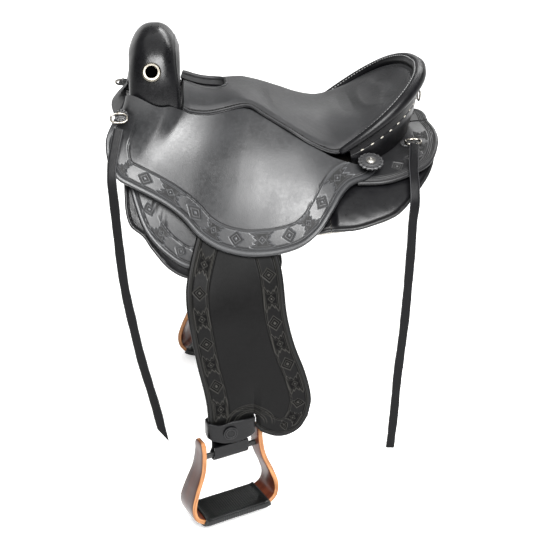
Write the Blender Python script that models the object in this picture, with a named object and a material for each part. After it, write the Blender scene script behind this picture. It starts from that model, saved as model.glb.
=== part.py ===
"""A hornless western saddle, built as an assembly of its real pieces.

The saddle's head end is -X, its near (left) side is -Y and +Z is up. The origin is on the
centre line where the saddle sits on the horse's back. Every panel that lies on the barrel
of the horse is drawn on one curved surface, back_point(), by its distance along the saddle
and its distance down from the centre line. Pairs are made for both sides by one loop.
"""

import math

import bpy
from mathutils import Vector

# ---------------------------------------------------------------- driving dimensions, metres

# the horse's back under the saddle, at places along it: height of the ridge, and the slope
# of the side at the ridge and at SPAN below it, in degrees
BACK_X = (-0.30, -0.20, -0.10, 0.0, 0.10, 0.20, 0.30)
RIDGE_Z = (0.125, 0.100, 0.055, 0.022, 0.014, 0.016, 0.022)
RIDGE_SLOPE = (40, 34, 18, 4, 0.5, 0.5, 0.5)
SPAN_SLOPE = (64, 62, 60, 56, 44, 38, 34)
SPAN = 0.30

# heights of the layers above the horse's back: under face and outer face
FLEECE = (0.0, 0.010)
SKIRT = (0.0125, 0.0165)
TOP_SKIRT = (0.0178, 0.0212)
BAR = (0.0225, 0.0345)
STRAP = (0.0230, 0.0262)
REAR_JOCKEY_TOP = 0.0310
REAR_JOCKEY_THICK = 0.0035
JOCKEY_THICK = 0.0040

# pommel
POMMEL_X = -0.199
POMMEL_HALF_LENGTH = 0.043
POMMEL_HALF_WIDTH = 0.104
POMMEL_BASE_Z = 0.112
POMMEL_TOP_Z = 0.2325
GULLET_HALF_WIDTH = 0.058
GULLET_TOP_Z = 0.150
COVER = 0.0030
COVER_GAP = 0.0008
ARCH_POWER = 2.45
SECTION_POWER = 2.8
TOP_TAPER = 0.32
FOOT_TILT = math.radians(-13.7)
FOOT_CENTRE = (0.0804, 0.1062)
FOOT_HALF = 0.0148

# cantle
CANTLE_RIM = (
    (0.104, 0.152, 0.047),
    (0.150, 0.149, 0.078),
    (0.190, 0.136, 0.106),
    (0.226, 0.106, 0.132),
    (0.251, 0.060, 0.148),
    (0.262, 0.000, 0.153),
)
CANTLE_COVER = 0.0030
ROLL_RADIUS = 0.0115
ROLL_EAR_RADIUS = 0.0060

# hanging gear
HANG_Y = 0.283
FENDER_THICK = 0.0040
LEATHER_THICK = 0.0035
STIRRUP_TURN = 24.0
NECK_TURN = 12.0
NECK_X = -0.0905
SLOT_X = -0.0490
STIRRUP_CENTRE = (-0.093, 0.283)
STIRRUP_TOP_Z = -0.398
BOLT_Z = -0.443
BOLT_RADIUS = 0.0050
BOLT_REACH = 0.0590
STIRRUP_THICK = 0.010
TREAD_SPAN = (10 / 28, 18 / 28)
TREAD_STEPS = 8
TREAD_COVER = (0.0004, 0.0033)
FENDER_HINGE = ((-0.009, 0.2610, -0.0910), (-0.137, 0.2180, -0.0740))

STRING_WIDTH = 0.016
STRING_THICK = 0.0030

# ---------------------------------------------------------------- materials

COLOURS = {
    "black_leather": ((0.012, 0.012, 0.013), 0.38, 0.0),
    "tooled_leather": ((0.055, 0.056, 0.060), 0.36, 0.0),
    "seat_leather": ((0.075, 0.077, 0.082), 0.45, 0.0),
    "fleece": ((0.55, 0.50, 0.42), 0.95, 0.0),
    "rawhide": ((0.50, 0.40, 0.26), 0.55, 0.0),
    "wood": ((0.30, 0.13, 0.05), 0.45, 0.0),
    "nickel": ((0.66, 0.65, 0.61), 0.22, 1.0),
    "steel": ((0.35, 0.35, 0.36), 0.40, 1.0),
}


def material_for(node, kind):
    colour, roughness, metallic = COLOURS[kind]
    material = bpy.data.materials.new(f"{node}_{kind}")
    material.use_nodes = True
    shader = material.node_tree.nodes["Principled BSDF"]
    shader.inputs["Base Color"].default_value = (*colour, 1.0)
    shader.inputs["Roughness"].default_value = roughness
    shader.inputs["Metallic"].default_value = metallic
    return material


# ---------------------------------------------------------------- curves and surfaces


def smooth(places, values, at):
    """A smooth curve through values at places, straight beyond both ends."""
    last = len(places) - 1
    if at <= places[0]:
        i, j = 0, 1
    elif at >= places[-1]:
        i, j = last - 1, last
    else:
        i, j = 0, 0
    if i != j:
        slope = (values[j] - values[i]) / (places[j] - places[i])
        end = i if at <= places[0] else j
        return values[end] + (at - places[end]) * slope
    i = max(n for n in range(last) if places[n] <= at)
    gap = places[i + 1] - places[i]

    def slope_at(n):
        a, b = max(n - 1, 0), min(n + 1, last)
        return (values[b] - values[a]) / (places[b] - places[a])

    t = (at - places[i]) / gap
    return (
        (2 * t**3 - 3 * t**2 + 1) * values[i]
        + (t**3 - 2 * t**2 + t) * gap * slope_at(i)
        + (3 * t**2 - 2 * t**3) * values[i + 1]
        + (t**3 - t**2) * gap * slope_at(i + 1)
    )


def along(points, t):
    """The point at share t of the length of a smooth curve through the points."""
    reach = [0.0]
    for a, b in zip(points, points[1:]):
        reach.append(reach[-1] + math.dist(a, b))
    at = t * reach[-1]
    return tuple(smooth(reach, axis, at) for axis in zip(*points))


def steps(count):
    return [n / count for n in range(count + 1)]


def back_point(x, s, lift=0.0):
    """The point lift above the horse's back, s down from the ridge, on the -Y side."""
    start = math.radians(smooth(BACK_X, RIDGE_SLOPE, x))
    end = math.radians(smooth(BACK_X, SPAN_SLOPE, x))
    bend = (end - start) / SPAN
    slope = start + bend * s
    y = (math.sin(slope) - math.sin(start)) / bend
    z = smooth(BACK_X, RIDGE_Z, x) - (math.cos(start) - math.cos(slope)) / bend
    return Vector((x, -y - lift * math.sin(slope), z + lift * math.cos(slope)))


def back_normal(x, s):
    return (back_point(x, s, 1.0) - back_point(x, s)).normalized()


def mirrored(point, side):
    """side is -1 on the near side, where every shape is drawn, and +1 on the far side."""
    return Vector((point[0], point[1] * -side, point[2]))


# ---------------------------------------------------------------- mesh makers


def make(name, kind, points, faces, origin=(0, 0, 0)):
    """One closed solid, facing out, with its origin at a joint when it moves."""
    origin = Vector(origin)
    mesh = bpy.data.meshes.new(name)
    mesh.from_pydata([Vector(p) - origin for p in points], [], faces)
    mesh.update()
    volume = sum(
        mesh.vertices[t.vertices[0]].co.dot(
            mesh.vertices[t.vertices[1]].co.cross(mesh.vertices[t.vertices[2]].co)
        )
        for t in triangles(mesh)
    )
    if volume < 0:
        mesh.flip_normals()
    mesh.shade_smooth()
    mesh.set_sharp_from_angle(angle=math.radians(35))
    mesh.materials.append(material_for(name, kind))
    piece = bpy.data.objects.new(name, mesh)
    piece.location = origin
    bpy.context.scene.collection.objects.link(piece)
    return piece


def triangles(mesh):
    mesh.calc_loop_triangles()
    return mesh.loop_triangles


def grid_faces(rows, columns, start=0, flip=False):
    faces = []
    for i in range(rows - 1):
        for j in range(columns - 1):
            a = start + i * columns + j
            face = (a, a + columns, a + columns + 1, a + 1)
            faces.append(face[::-1] if flip else face)
    return faces


def plate(name, kind, grid, inner, outer, origin=(0, 0, 0)):
    """A sheet of leather: the grid of points, thickened from inner to outer along its normals.

    Inner may be a function of the share down the rows and the share across the columns.
    """
    rows, columns = len(grid), len(grid[0])
    grid = [[Vector(p) for p in row] for row in grid]
    under, over = [], []
    for i in range(rows):
        for j in range(columns):
            down = grid[min(i + 1, rows - 1)][j] - grid[max(i - 1, 0)][j]
            across = grid[i][min(j + 1, columns - 1)] - grid[i][max(j - 1, 0)]
            normal = down.cross(across).normalized()
            depth = inner(i / (rows - 1), j / (columns - 1)) if callable(inner) else inner
            under.append(grid[i][j] + normal * depth)
            over.append(grid[i][j] + normal * outer)
    return solid_between(name, kind, under, over, rows, columns, origin)


def sweep(name, kind, sections, closed=False, origin=(0, 0, 0)):
    """A solid through sections of equal point count, capped at both ends or closed on itself."""
    size = len(sections[0])
    points = [p for section in sections for p in section]
    faces = []
    last = len(sections) if closed else len(sections) - 1
    for i in range(last):
        for j in range(size):
            a = i * size + j
            b = i * size + (j + 1) % size
            c = (i + 1) % len(sections) * size
            faces.append((a, b, c + (j + 1) % size, c + j))
    if not closed:
        end = (len(sections) - 1) * size
        faces.append(tuple(range(size))[::-1])
        faces.append(tuple(range(end, end + size)))
    return make(name, kind, points, faces, origin)


def tunnel(name, kind, outer, inner, origin=(0, 0, 0)):
    """A sleeve: sections of an outer skin and of an inner one, joined by rings at both ends."""
    size, rows = len(outer[0]), len(outer)
    points = [p for section in outer for p in section]
    points += [p for section in inner for p in section]
    start = rows * size
    faces = []
    for i in range(rows - 1):
        for j in range(size):
            k = (j + 1) % size
            a, b, c, d = i * size + j, i * size + k, (i + 1) * size + k, (i + 1) * size + j
            faces.append((a, b, c, d))
            faces.append((start + d, start + c, start + b, start + a))
    end = (rows - 1) * size
    for j in range(size):
        k = (j + 1) % size
        faces.append((k, j, start + j, start + k))
        faces.append((end + j, end + k, start + end + k, start + end + j))
    return make(name, kind, points, faces, origin)


def rounded(angle, power):
    """A point on a rounded square of half-size 1."""
    c, s = math.cos(angle), math.sin(angle)
    return (
        math.copysign(abs(c) ** (2 / power), c),
        math.copysign(abs(s) ** (2 / power), s),
    )


def frame_of(normal, up=(0, 0, 1)):
    """Axes across, up and out of a face with this normal."""
    out = Vector(normal).normalized()
    across = Vector(up).cross(out).normalized()
    return across, out.cross(across), out


def turned(name, kind, centre, normal, profile, scallops=0, depth=0.0, sides=32, origin=(0, 0, 0)):
    """A disc turned about its normal: profile is (radius, height) from the back to the front."""
    across, up, out = frame_of(normal)
    sections = []
    for radius, height in profile:
        section = []
        for n in range(sides):
            angle = 2 * math.pi * n / sides
            wave = 1 + depth * math.cos(scallops * angle) if scallops else 1
            r = radius * wave
            spot = across * (r * math.cos(angle)) + up * (r * math.sin(angle)) + out * height
            section.append(Vector(centre) + spot)
        sections.append(section)
    return sweep(name, kind, sections, origin=origin)


def wire(name, kind, centres, radius, closed, normal, sides=8, origin=(0, 0, 0)):
    """A round wire through the centres, which lie flat in the plane of the normal."""
    out = Vector(normal).normalized()
    count = len(centres)
    sections = []
    for n, centre in enumerate(centres):
        before = centres[(n - 1) % count] if closed or n else centre
        after = centres[(n + 1) % count] if closed or n < count - 1 else centre
        side = (Vector(after) - Vector(before)).normalized().cross(out)
        section = []
        for k in range(sides):
            angle = 2 * math.pi * k / sides
            ring = side * math.cos(angle) + out * math.sin(angle)
            section.append(Vector(centre) + ring * radius)
        sections.append(section)
    return sweep(name, kind, sections, closed=closed, origin=origin)


def side_name(stem, side):
    return f"{stem}_left" if side < 0 else f"{stem}_right"


def panel(stem, kind, upper, lower, thick, side, rows=6, columns=18, fall=1.0):
    """A leather panel on the horse's side between an upper and a lower edge of (x, s, lift).

    The lift is its outer face's. It falls from the upper edge's to the lower edge's, faster
    at first where fall is over 1. Fall may be a function of the share along the panel.
    """
    under, over = [], []
    for r in steps(rows):
        for t in steps(columns):
            top, low = along(upper, t), along(lower, t)
            x = top[0] + (low[0] - top[0]) * r
            s = top[1] + (low[1] - top[1]) * r
            power = fall(t) if callable(fall) else fall
            lift = low[2] + (top[2] - low[2]) * (1 - r) ** power
            under.append(mirrored(back_point(x, s, lift - thick), side))
            over.append(mirrored(back_point(x, s, lift), side))
    return solid_between(side_name(stem, side), kind, under, over, rows + 1, columns + 1)


def solid_between(name, kind, under, over, rows, columns, origin=(0, 0, 0)):
    """The closed solid between two grids of points."""
    count = len(under)
    faces = grid_faces(rows, columns) + grid_faces(rows, columns, count, flip=True)
    rim = [j for j in range(columns)]
    rim += [i * columns + columns - 1 for i in range(1, rows)]
    rim += [(rows - 1) * columns + j for j in range(columns - 2, -1, -1)]
    rim += [i * columns for i in range(rows - 2, 0, -1)]
    for a, b in zip(rim, rim[1:] + rim[:1]):
        faces.append((a, b, b + count, a + count))
    return make(name, kind, under + over, faces, origin)


def level(lift, points):
    """Points of (x, s) given one lift."""
    return [(x, s, lift) for x, s in points]


# ---------------------------------------------------------------- tree, fleece and skirts

BAR_UPPER = (
    (-0.238, 0.040, 0.031),
    (-0.120, 0.036, 0.040),
    (0.020, 0.036, 0.040),
    (0.110, 0.036, 0.0262),
    (0.180, 0.036, 0.0262),
    (0.255, 0.030, 0.0262),
)
BAR_LOWER = (
    (-0.228, 0.108, 0.030),
    (-0.120, 0.118, 0.034),
    (0.020, 0.118, 0.034),
    (0.110, 0.116, 0.0262),
    (0.180, 0.112, 0.0262),
    (0.245, 0.100, 0.0262),
)

FRONT_SKIRT_UPPER = ((-0.252, 0.030), (-0.10, 0.012), (0.0815, 0.005))
FRONT_SKIRT_LOWER = (
    (-0.2545, 0.075),
    (-0.2555, 0.215),
    (-0.248, 0.248),
    (-0.227, 0.264),
    (-0.213, 0.283),
    (-0.184, 0.311),
    (-0.150, 0.319),
    (-0.095, 0.300),
    (-0.035, 0.268),
    (0.030, 0.252),
    (0.0815, 0.251),
)
REAR_SKIRT_UPPER = ((0.0825, 0.005), (0.18, 0.005), (0.270, 0.005))
REAR_SKIRT_LOWER = (
    (0.0825, 0.252),
    (0.121, 0.256),
    (0.159, 0.249),
    (0.195, 0.235),
    (0.231, 0.195),
    (0.261, 0.148),
    (0.277, 0.095),
    (0.280, 0.014),
)
FLEECE_UPPER = ((-0.247, 0.036), (-0.10, 0.018), (0.10, 0.009), (0.262, 0.010))
FLEECE_LOWER = (
    (-0.249, 0.085),
    (-0.249, 0.212),
    (-0.236, 0.248),
    (-0.200, 0.288),
    (-0.150, 0.306),
    (-0.090, 0.288),
    (0.00, 0.250),
    (0.120, 0.249),
    (0.190, 0.231),
    (0.252, 0.150),
    (0.271, 0.080),
    (0.273, 0.020),
)
TOP_SKIRT_UPPER = ((-0.245, 0.050), (-0.12, 0.045), (-0.015, 0.060))
TOP_SKIRT_LOWER = (
    (-0.2475, 0.085),
    (-0.246, 0.180),
    (-0.234, 0.230),
    (-0.220, 0.260),
    (-0.194, 0.286),
    (-0.156, 0.303),
    (-0.100, 0.292),
    (-0.050, 0.262),
    (-0.018, 0.245),
)
REAR_JOCKEY_UPPER = ((0.126, 0.118), (0.170, 0.108), (0.208, 0.080), (0.232, 0.040), (0.238, 0.003))
REAR_JOCKEY_LOWER = (
    (0.132, 0.178),
    (0.177, 0.181),
    (0.217, 0.171),
    (0.258, 0.147),
    (0.282, 0.096),
    (0.288, 0.051),
    (0.284, 0.003),
)


def arch_point(angle, half_width, height):
    """A point of a rounded arch over the withers, in the plane across the saddle."""
    across, up = rounded(angle, ARCH_POWER)
    return Vector((0, half_width * across, POMMEL_BASE_Z + height * max(up, 0)))


def fork_sections(shrink, sides=16):
    """Rounded sections around the pommel's arch, from one foot to the other."""
    high = POMMEL_TOP_Z - POMMEL_BASE_Z
    low = GULLET_TOP_Z - POMMEL_BASE_Z
    spokes = []
    foot = Vector((0, math.cos(FOOT_TILT), math.sin(FOOT_TILT)))
    spokes.append((Vector((0, *FOOT_CENTRE)), foot, FOOT_HALF))
    for n in range(19):
        angle = math.pi * n / 18
        outer = arch_point(angle, POMMEL_HALF_WIDTH, high)
        inner = arch_point(angle, GULLET_HALF_WIDTH, low)
        spokes.append(((outer + inner) / 2, (outer - inner).normalized(), (outer - inner).length / 2))
    centre, out, half = spokes[0]
    spokes.append((mirrored(centre, 1), mirrored(out, 1), half))
    sections = []
    for centre, out, half in spokes:
        section = []
        for k in range(sides):
            along_x, away = rounded(2 * math.pi * k / sides, SECTION_POWER)
            narrow = 1 - TOP_TAPER * max(0.0, away) * max(0.0, out.z) ** 2
            x = POMMEL_X + (POMMEL_HALF_LENGTH - shrink) * along_x * narrow
            section.append(Vector((x, 0, 0)) + centre + out * ((half - shrink) * away))
        sections.append(section)
    return sections


def build_pommel():
    outer = fork_sections(0.0)
    inner = fork_sections(COVER)
    tunnel("fork_cover", "black_leather", outer, inner)
    sweep("tree_fork", "rawhide", fork_sections(COVER + COVER_GAP)[1:-1])
    for side in (-1, 1):
        face, out = POMMEL_FACE
        centre = mirrored(face, side)
        normal = mirrored(out, side)
        build_grommet(side_name("grommet", side), centre, normal)


POMMEL_FACE = (Vector((-0.203, -0.0960, 0.176)), Vector((0, -0.93, 0.37)))


def build_grommet(name, centre, normal):
    """A pressed ring around the pommel's side hole."""
    across, up, out = frame_of(normal)
    profile = ((0.0085, 0.0012), (0.0105, 0.0050), (0.0135, 0.0052), (0.0160, 0.0030), (0.0160, 0.0012))
    sections = []
    for n in range(28):
        angle = 2 * math.pi * n / 28
        spoke = across * math.cos(angle) + up * math.sin(angle)
        sections.append([centre + spoke * r + out * h for r, h in profile])
    sweep(name, "nickel", sections, closed=True)


def build_side(side):
    """The layers of one side of the saddle, from the horse outward."""
    panel("fleece", "fleece", level(FLEECE[1], FLEECE_UPPER), level(FLEECE[1], FLEECE_LOWER), 0.010, side)
    skirt = SKIRT[1] - SKIRT[0]
    upper, lower = level(SKIRT[1], FRONT_SKIRT_UPPER), level(SKIRT[1], FRONT_SKIRT_LOWER)
    panel("front_skirt", "black_leather", upper, lower, skirt, side)
    upper, lower = level(SKIRT[1], REAR_SKIRT_UPPER), level(SKIRT[1], REAR_SKIRT_LOWER)
    panel("rear_skirt", "black_leather", upper, lower, skirt, side, columns=14)
    upper, lower = level(TOP_SKIRT[1], TOP_SKIRT_UPPER), level(TOP_SKIRT[1], TOP_SKIRT_LOWER)
    panel("rigging_skirt", "tooled_leather", upper, lower, TOP_SKIRT[1] - TOP_SKIRT[0], side)
    build_bar(side)
    upper, lower = level(REAR_JOCKEY_TOP, REAR_JOCKEY_UPPER), level(REAR_JOCKEY_TOP, REAR_JOCKEY_LOWER)
    panel("rear_jockey", "tooled_leather", upper, lower, REAR_JOCKEY_THICK, side, columns=14)
    panel("seat_jockey", "tooled_leather", JOCKEY_UPPER, JOCKEY_LOWER, JOCKEY_THICK, side, 7, 30, fall=jockey_fall)


def build_bar(side, rows=3, columns=12):
    """A wooden bar: flat on the skirt, crowned on top."""
    under, over = [], []
    for r in steps(rows):
        for t in steps(columns):
            top, low = along(BAR_UPPER, t), along(BAR_LOWER, t)
            x = top[0] + (low[0] - top[0]) * r
            s = top[1] + (low[1] - top[1]) * r
            lift = top[2] + (low[2] - top[2]) * r
            under.append(mirrored(back_point(x, s, BAR[0]), side))
            over.append(mirrored(back_point(x, s, lift), side))
    solid_between(side_name("tree_bar", side), "rawhide", under, over, rows + 1, columns + 1)


# ---------------------------------------------------------------- seat, jockeys and cantle

JOCKEY_FALL = (5.0, 1.5)
JOCKEY_FALL_END = 0.50


def jockey_fall(t):
    """The jockey drops steeply off the pommel's foot and gently off the seat."""
    front, rear = JOCKEY_FALL
    return rear + (front - rear) * max(0.0, 1 - t / JOCKEY_FALL_END) ** 2


JOCKEY_UPPER = (
    (-0.2475, 0.031, 0.040),
    (-0.2475, 0.047, 0.066),
    (-0.2465, 0.056, 0.082),
    (-0.240, 0.0590, 0.0915),
    (-0.228, 0.0615, 0.0912),
    (-0.200, 0.0685, 0.0840),
    (-0.188, 0.0690, 0.0835),
    (-0.174, 0.0665, 0.0850),
    (-0.152, 0.061, 0.072),
    (-0.113, 0.060, 0.072),
    (-0.084, 0.055, 0.079),
    (-0.054, 0.056, 0.090),
    (-0.039, 0.061, 0.093),
    (-0.016, 0.077, 0.091),
    (0.025, 0.103, 0.083),
    (0.058, 0.122, 0.072),
    (0.092, 0.139, 0.058),
    (0.125, 0.145, 0.046),
    (0.150, 0.148, 0.038),
    (0.164, 0.149, 0.036),
)
JOCKEY_LOWER = (
    (-0.2505, 0.033, 0.037),
    (-0.257, 0.050, 0.037),
    (-0.271, 0.080, 0.037),
    (-0.283, 0.111, 0.037),
    (-0.284, 0.133, 0.037),
    (-0.279, 0.158, 0.037),
    (-0.266, 0.178, 0.037),
    (-0.245, 0.188, 0.037),
    (-0.211, 0.201, 0.037),
    (-0.184, 0.213, 0.037),
    (-0.161, 0.228, 0.037),
    (-0.137, 0.251, 0.037),
    (-0.106, 0.268, 0.037),
    (-0.067, 0.277, 0.037),
    (-0.037, 0.2785, 0.037),
    (-0.003, 0.277, 0.037),
    (0.034, 0.271, 0.037),
    (0.063, 0.254, 0.037),
    (0.086, 0.226, 0.037),
    (0.104, 0.200, 0.037),
    (0.122, 0.182, 0.037),
    (0.151, 0.169, 0.036),
    (0.166, 0.155, 0.036),
)
SEAT_EDGE = (
    (-0.1520, 0.088, 0.1165),
    (-0.140, 0.0875, 0.110),
    (-0.113, 0.085, 0.106),
    (-0.084, 0.080, 0.109),
    (-0.054, 0.080, 0.115),
    (-0.039, 0.085, 0.114),
    (-0.016, 0.100, 0.103),
    (0.025, 0.125, 0.084),
    (0.058, 0.140, 0.067),
    (0.090, 0.147, 0.056),
    (0.112, 0.143, 0.058),
    (0.151, 0.136, 0.079),
    (0.187, 0.122, 0.102),
    (0.219, 0.093, 0.123),
    (0.240, 0.052, 0.138),
    (0.248, 0.012, 0.143),
)
SEAT_CENTRE = (
    (-0.1520, 0.0, 0.145),
    (-0.120, 0.0, 0.134),
    (-0.070, 0.0, 0.128),
    (-0.037, 0.0, 0.123),
    (-0.018, 0.0, 0.116),
    (0.000, 0.0, 0.106),
    (0.037, 0.0, 0.094),
    (0.075, 0.0, 0.087),
    (0.105, 0.0, 0.086),
    (0.140, 0.0, 0.090),
    (0.180, 0.0, 0.101),
    (0.215, 0.0, 0.118),
    (0.238, 0.0, 0.135),
    (0.2485, 0.0, 0.1435),
)
HAND_HOLE = (-0.078, 0.033)
SEAT_THICK = 0.012
SEAT_EDGE_THICK = 0.0045
GROUND_SEAT = (-0.0165, -0.0130)
GROUND_SEAT_REACH = (0.04, 0.84)
GROUND_SEAT_WIDTH = 0.90


def seat_grid(rows=24, columns=16, first=0.0, last=1.0, width=1.0):
    """The seat's top surface: from the pommel to the cantle's rim, side to side."""
    grid = []
    for t in steps(rows):
        t = first + (last - first) * t
        edge, centre = along(SEAT_EDGE, t), along(SEAT_CENTRE, t)
        row = []
        for n in range(columns + 1):
            v = width * (2 * n / columns - 1)
            part = abs(v) ** 2.2
            x = centre[0] + (edge[0] - centre[0]) * part
            z = centre[2] + (edge[2] - centre[2]) * part
            row.append((x, edge[1] * v, z))
        grid.append(row)
    return grid


def cut(piece, cutter):
    """Take the cutter's shape out of a piece and hide the cutter."""
    cutter.hide_render = True
    cutter.display_type = "WIRE"
    opening = piece.modifiers.new(f"{cutter.name}_opening", "BOOLEAN")
    opening.object = cutter
    opening.operation = "DIFFERENCE"
    opening.solver = "EXACT"


def hand_hole_cutter():
    """The hand hole's outline, open towards the pommel and run up through the seat."""
    rear, half = HAND_HOLE
    corner = 0.024
    outline = [(POMMEL_X, -half)]
    for n in range(7):
        angle = math.pi / 2 * (n / 6 - 1)
        outline.append((rear - corner + corner * math.cos(angle), -half + corner + corner * math.sin(angle)))
    outline += [(x, -y) for x, y in outline[::-1]]
    sections = [[Vector((x, y, z)) for x, y in outline] for z in (0.06, 0.20)]
    return sweep("hand_hole_cutter", "seat_leather", sections)


def cantle_rim(t):
    """The rim's centre line, t from -1 at the near ear to 1 at the far ear."""
    x, y, z = along(CANTLE_RIM, 1 - abs(t))
    return Vector((x, math.copysign(y, t), z))


CANTLE_BASE = (
    (0.112, 0.132, 0.036),
    (0.138, 0.133, 0.0335),
    (0.172, 0.122, 0.0335),
    (0.206, 0.095, 0.0335),
    (0.232, 0.055, 0.0335),
    (0.246, 0.002, 0.0335),
)


def cantle_foot(t):
    """The line where the cantle's back meets the rear jockeys."""
    x, s, lift = along(CANTLE_BASE, 1 - abs(t))
    return mirrored(back_point(x, s, lift), 1 if t > 0 else -1)


def seat_depth(down, across):
    """The padding is full in the middle and thin along the sewn edges."""
    middle = (1 - abs(2 * across - 1) ** 4) * (1 - down**6)
    return -SEAT_EDGE_THICK - (SEAT_THICK - SEAT_EDGE_THICK) * middle


def build_seat():
    seat = plate("seat", "seat_leather", seat_grid(), seat_depth, 0.0)
    under = seat_grid(14, 12, *GROUND_SEAT_REACH, GROUND_SEAT_WIDTH)
    ground = plate("ground_seat", "rawhide", under, *GROUND_SEAT)
    cutter = hand_hole_cutter()
    cut(seat, cutter)
    cut(ground, cutter)


def build_cantle():
    sections = []
    count = 40
    for n in range(count + 1):
        t = -1 + 2 * n / count
        centre = cantle_rim(t)
        ahead = (cantle_rim(min(t + 0.02, 1)) - cantle_rim(max(t - 0.02, -1))).normalized()
        side = ahead.cross(Vector((0, 0, 1))).normalized()
        up = side.cross(ahead)
        radius = ROLL_EAR_RADIUS + (ROLL_RADIUS - ROLL_EAR_RADIUS) * (1 - abs(t) ** 2)
        section = []
        for k in range(10):
            angle = 2 * math.pi * k / 10
            section.append(centre + (side * math.cos(angle) + up * math.sin(angle)) * radius)
        sections.append(section)
    sweep("cantle_roll", "black_leather", sections)
    grid = []
    for r in steps(5):
        row = []
        for n in range(29):
            t = 0.93 * (-1 + 2 * n / 28)
            rim, foot = cantle_rim(t), cantle_foot(t)
            radius = ROLL_EAR_RADIUS + (ROLL_RADIUS - ROLL_EAR_RADIUS) * (1 - abs(t) ** 2)
            down = (foot - rim).normalized()
            top = rim + down * (radius + 0.0022)
            bulge = math.sin(math.pi * r) * 0.004
            outward = Vector((rim.x - 0.10, rim.y, 0)).normalized()
            row.append(top + (foot - top) * r + outward * bulge)
        grid.append(row)
    plate("cantle_back", "black_leather", grid, -CANTLE_COVER, 0.0)
    inner = [row[3:-3] for row in grid[2:]]
    plate("tree_cantle", "rawhide", inner, -0.0095, -0.0036)


# ---------------------------------------------------------------- fittings on the leather

STRING_DEE = (-0.260, 0.0860, 0.0625)
REAR_DEE = (0.239, 0.092, 0.0375)
DEE_HALF = (0.0135, 0.0085)
DEE_WIRE = 0.0019


def on_side(place, side):
    """The point and the outward normal of a place (x, s, lift) on one side."""
    x, s, lift = place
    return mirrored(back_point(x, s, lift), side), mirrored(back_normal(x, s), side)


def build_dee(stem, place, side):
    """A flat wire dee hanging from the rosette above it, hinged on its straight bar."""
    centre, out = on_side(place, side)
    across, up, out = frame_of(out)
    half_wide, half_high = DEE_HALF
    hinge = centre + up * half_high
    centres = []
    for n in range(20):
        c, s = rounded(2 * math.pi * n / 20, 2.6)
        centres.append(centre + across * (half_wide * c) + up * (half_high * s))
    wire(side_name(stem, side), "nickel", centres, DEE_WIRE, True, out, 6, origin=hinge)


def build_rosette(name, centre, normal, radius, thick, scallops=0, kind="black_leather", sides=24):
    profile = ((radius * 0.94, 0.0), (radius, thick * 0.45), (radius * 0.93, thick), (radius * 0.3, thick))
    turned(name, kind, centre, normal, profile, scallops, 0.035, sides)


def build_concho(name, centre, normal, radius, thick):
    profile = ((radius, 0.0), (radius, thick * 0.4), (radius * 0.75, thick * 0.85), (radius * 0.3, thick))
    turned(name, "nickel", centre, normal, profile, sides=20)


FRONT_ROSETTE = (-0.2564, 0.0792, 0.0572)
SMALL_ROSETTE = (0.2275, 0.0885, 0.0316)
BIG_ROSETTE = (0.1550, 0.1515, 0.0502)


def build_fittings(side):
    centre, out = on_side(FRONT_ROSETTE, side)
    build_rosette(side_name("front_rosette", side), centre, out, 0.0115, 0.0030, 12)
    centre, out = on_side(SMALL_ROSETTE, side)
    build_rosette(side_name("string_rosette", side), centre, out, 0.0100, 0.0030, 12)
    centre, out = on_side(BIG_ROSETTE, side)
    build_rosette(side_name("rear_rosette", side), centre, out, 0.0215, 0.0035, 16, sides=48)
    build_concho(side_name("rear_concho", side), centre + out * 0.0038, out, 0.0078, 0.0030)
    build_dee("front_dee", STRING_DEE, side)
    build_dee("rear_dee", REAR_DEE, side)


FRONT_STRING = (
    (-0.2615, -0.1170, 0.0868),
    (-0.2680, -0.1350, 0.0610),
    (-0.2735, -0.1515, 0.0360),
    (-0.2745, -0.1640, 0.0130),
    (-0.2725, -0.1705, -0.0200),
    (-0.2690, -0.1745, -0.0870),
    (-0.2630, -0.1780, -0.1720),
    (-0.2520, -0.1800, -0.2470),
    (-0.2400, -0.1800, -0.3190),
    (-0.2190, -0.1800, -0.4160),
    (-0.2065, -0.1800, -0.4880),
)
REAR_STRING = (
    (0.2375, -0.1180, 0.0480),
    (0.2320, -0.1450, 0.0390),
    (0.2265, -0.1750, 0.0245),
    (0.2240, -0.2020, 0.0070),
    (0.2225, -0.2190, -0.0180),
    (0.2200, -0.2205, -0.0550),
    (0.2195, -0.2210, -0.1060),
    (0.2150, -0.2210, -0.2420),
    (0.2080, -0.2210, -0.3450),
    (0.2050, -0.2210, -0.4240),
    (0.2010, -0.2210, -0.4950),
)


def build_string(name, route, origin):
    """A flat leather saddle string, seen edge-on from the front."""
    grid = []
    for t in steps(22):
        centre = Vector(along(route, t))
        grid.append([centre + Vector((STRING_WIDTH * w, 0, 0)) for w in (-0.5, 0.0, 0.5)])
    plate(name, "black_leather", grid, -STRING_THICK / 2, STRING_THICK / 2, origin)


def dee_hinge(place, side):
    centre, out = on_side(place, side)
    return centre + frame_of(out)[1] * DEE_HALF[1]


def build_cantle_fittings():
    centre = Vector((0.2640, -0.004, 0.0990))
    centres = []
    for n in range(20):
        c, s = rounded(2 * math.pi * n / 20, 2.6)
        centres.append(centre + Vector((0.10 * s * 0.0085, c * 0.0105, s * 0.0085)))
    wire("cantle_dee", "nickel", centres, DEE_WIRE, True, (1, 0, -0.1), 6, centre + Vector((0, 0, 0.0085)))
    turned(
        "cantle_keeper",
        "black_leather",
        (0.2630, -0.004, 0.1190),
        (1, 0, -0.22),
        ((0.0085, 0.0), (0.0085, 0.0030), (0.0060, 0.0040)),
        sides=16,
    )


# ---------------------------------------------------------------- fender, strap and stirrup

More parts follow.
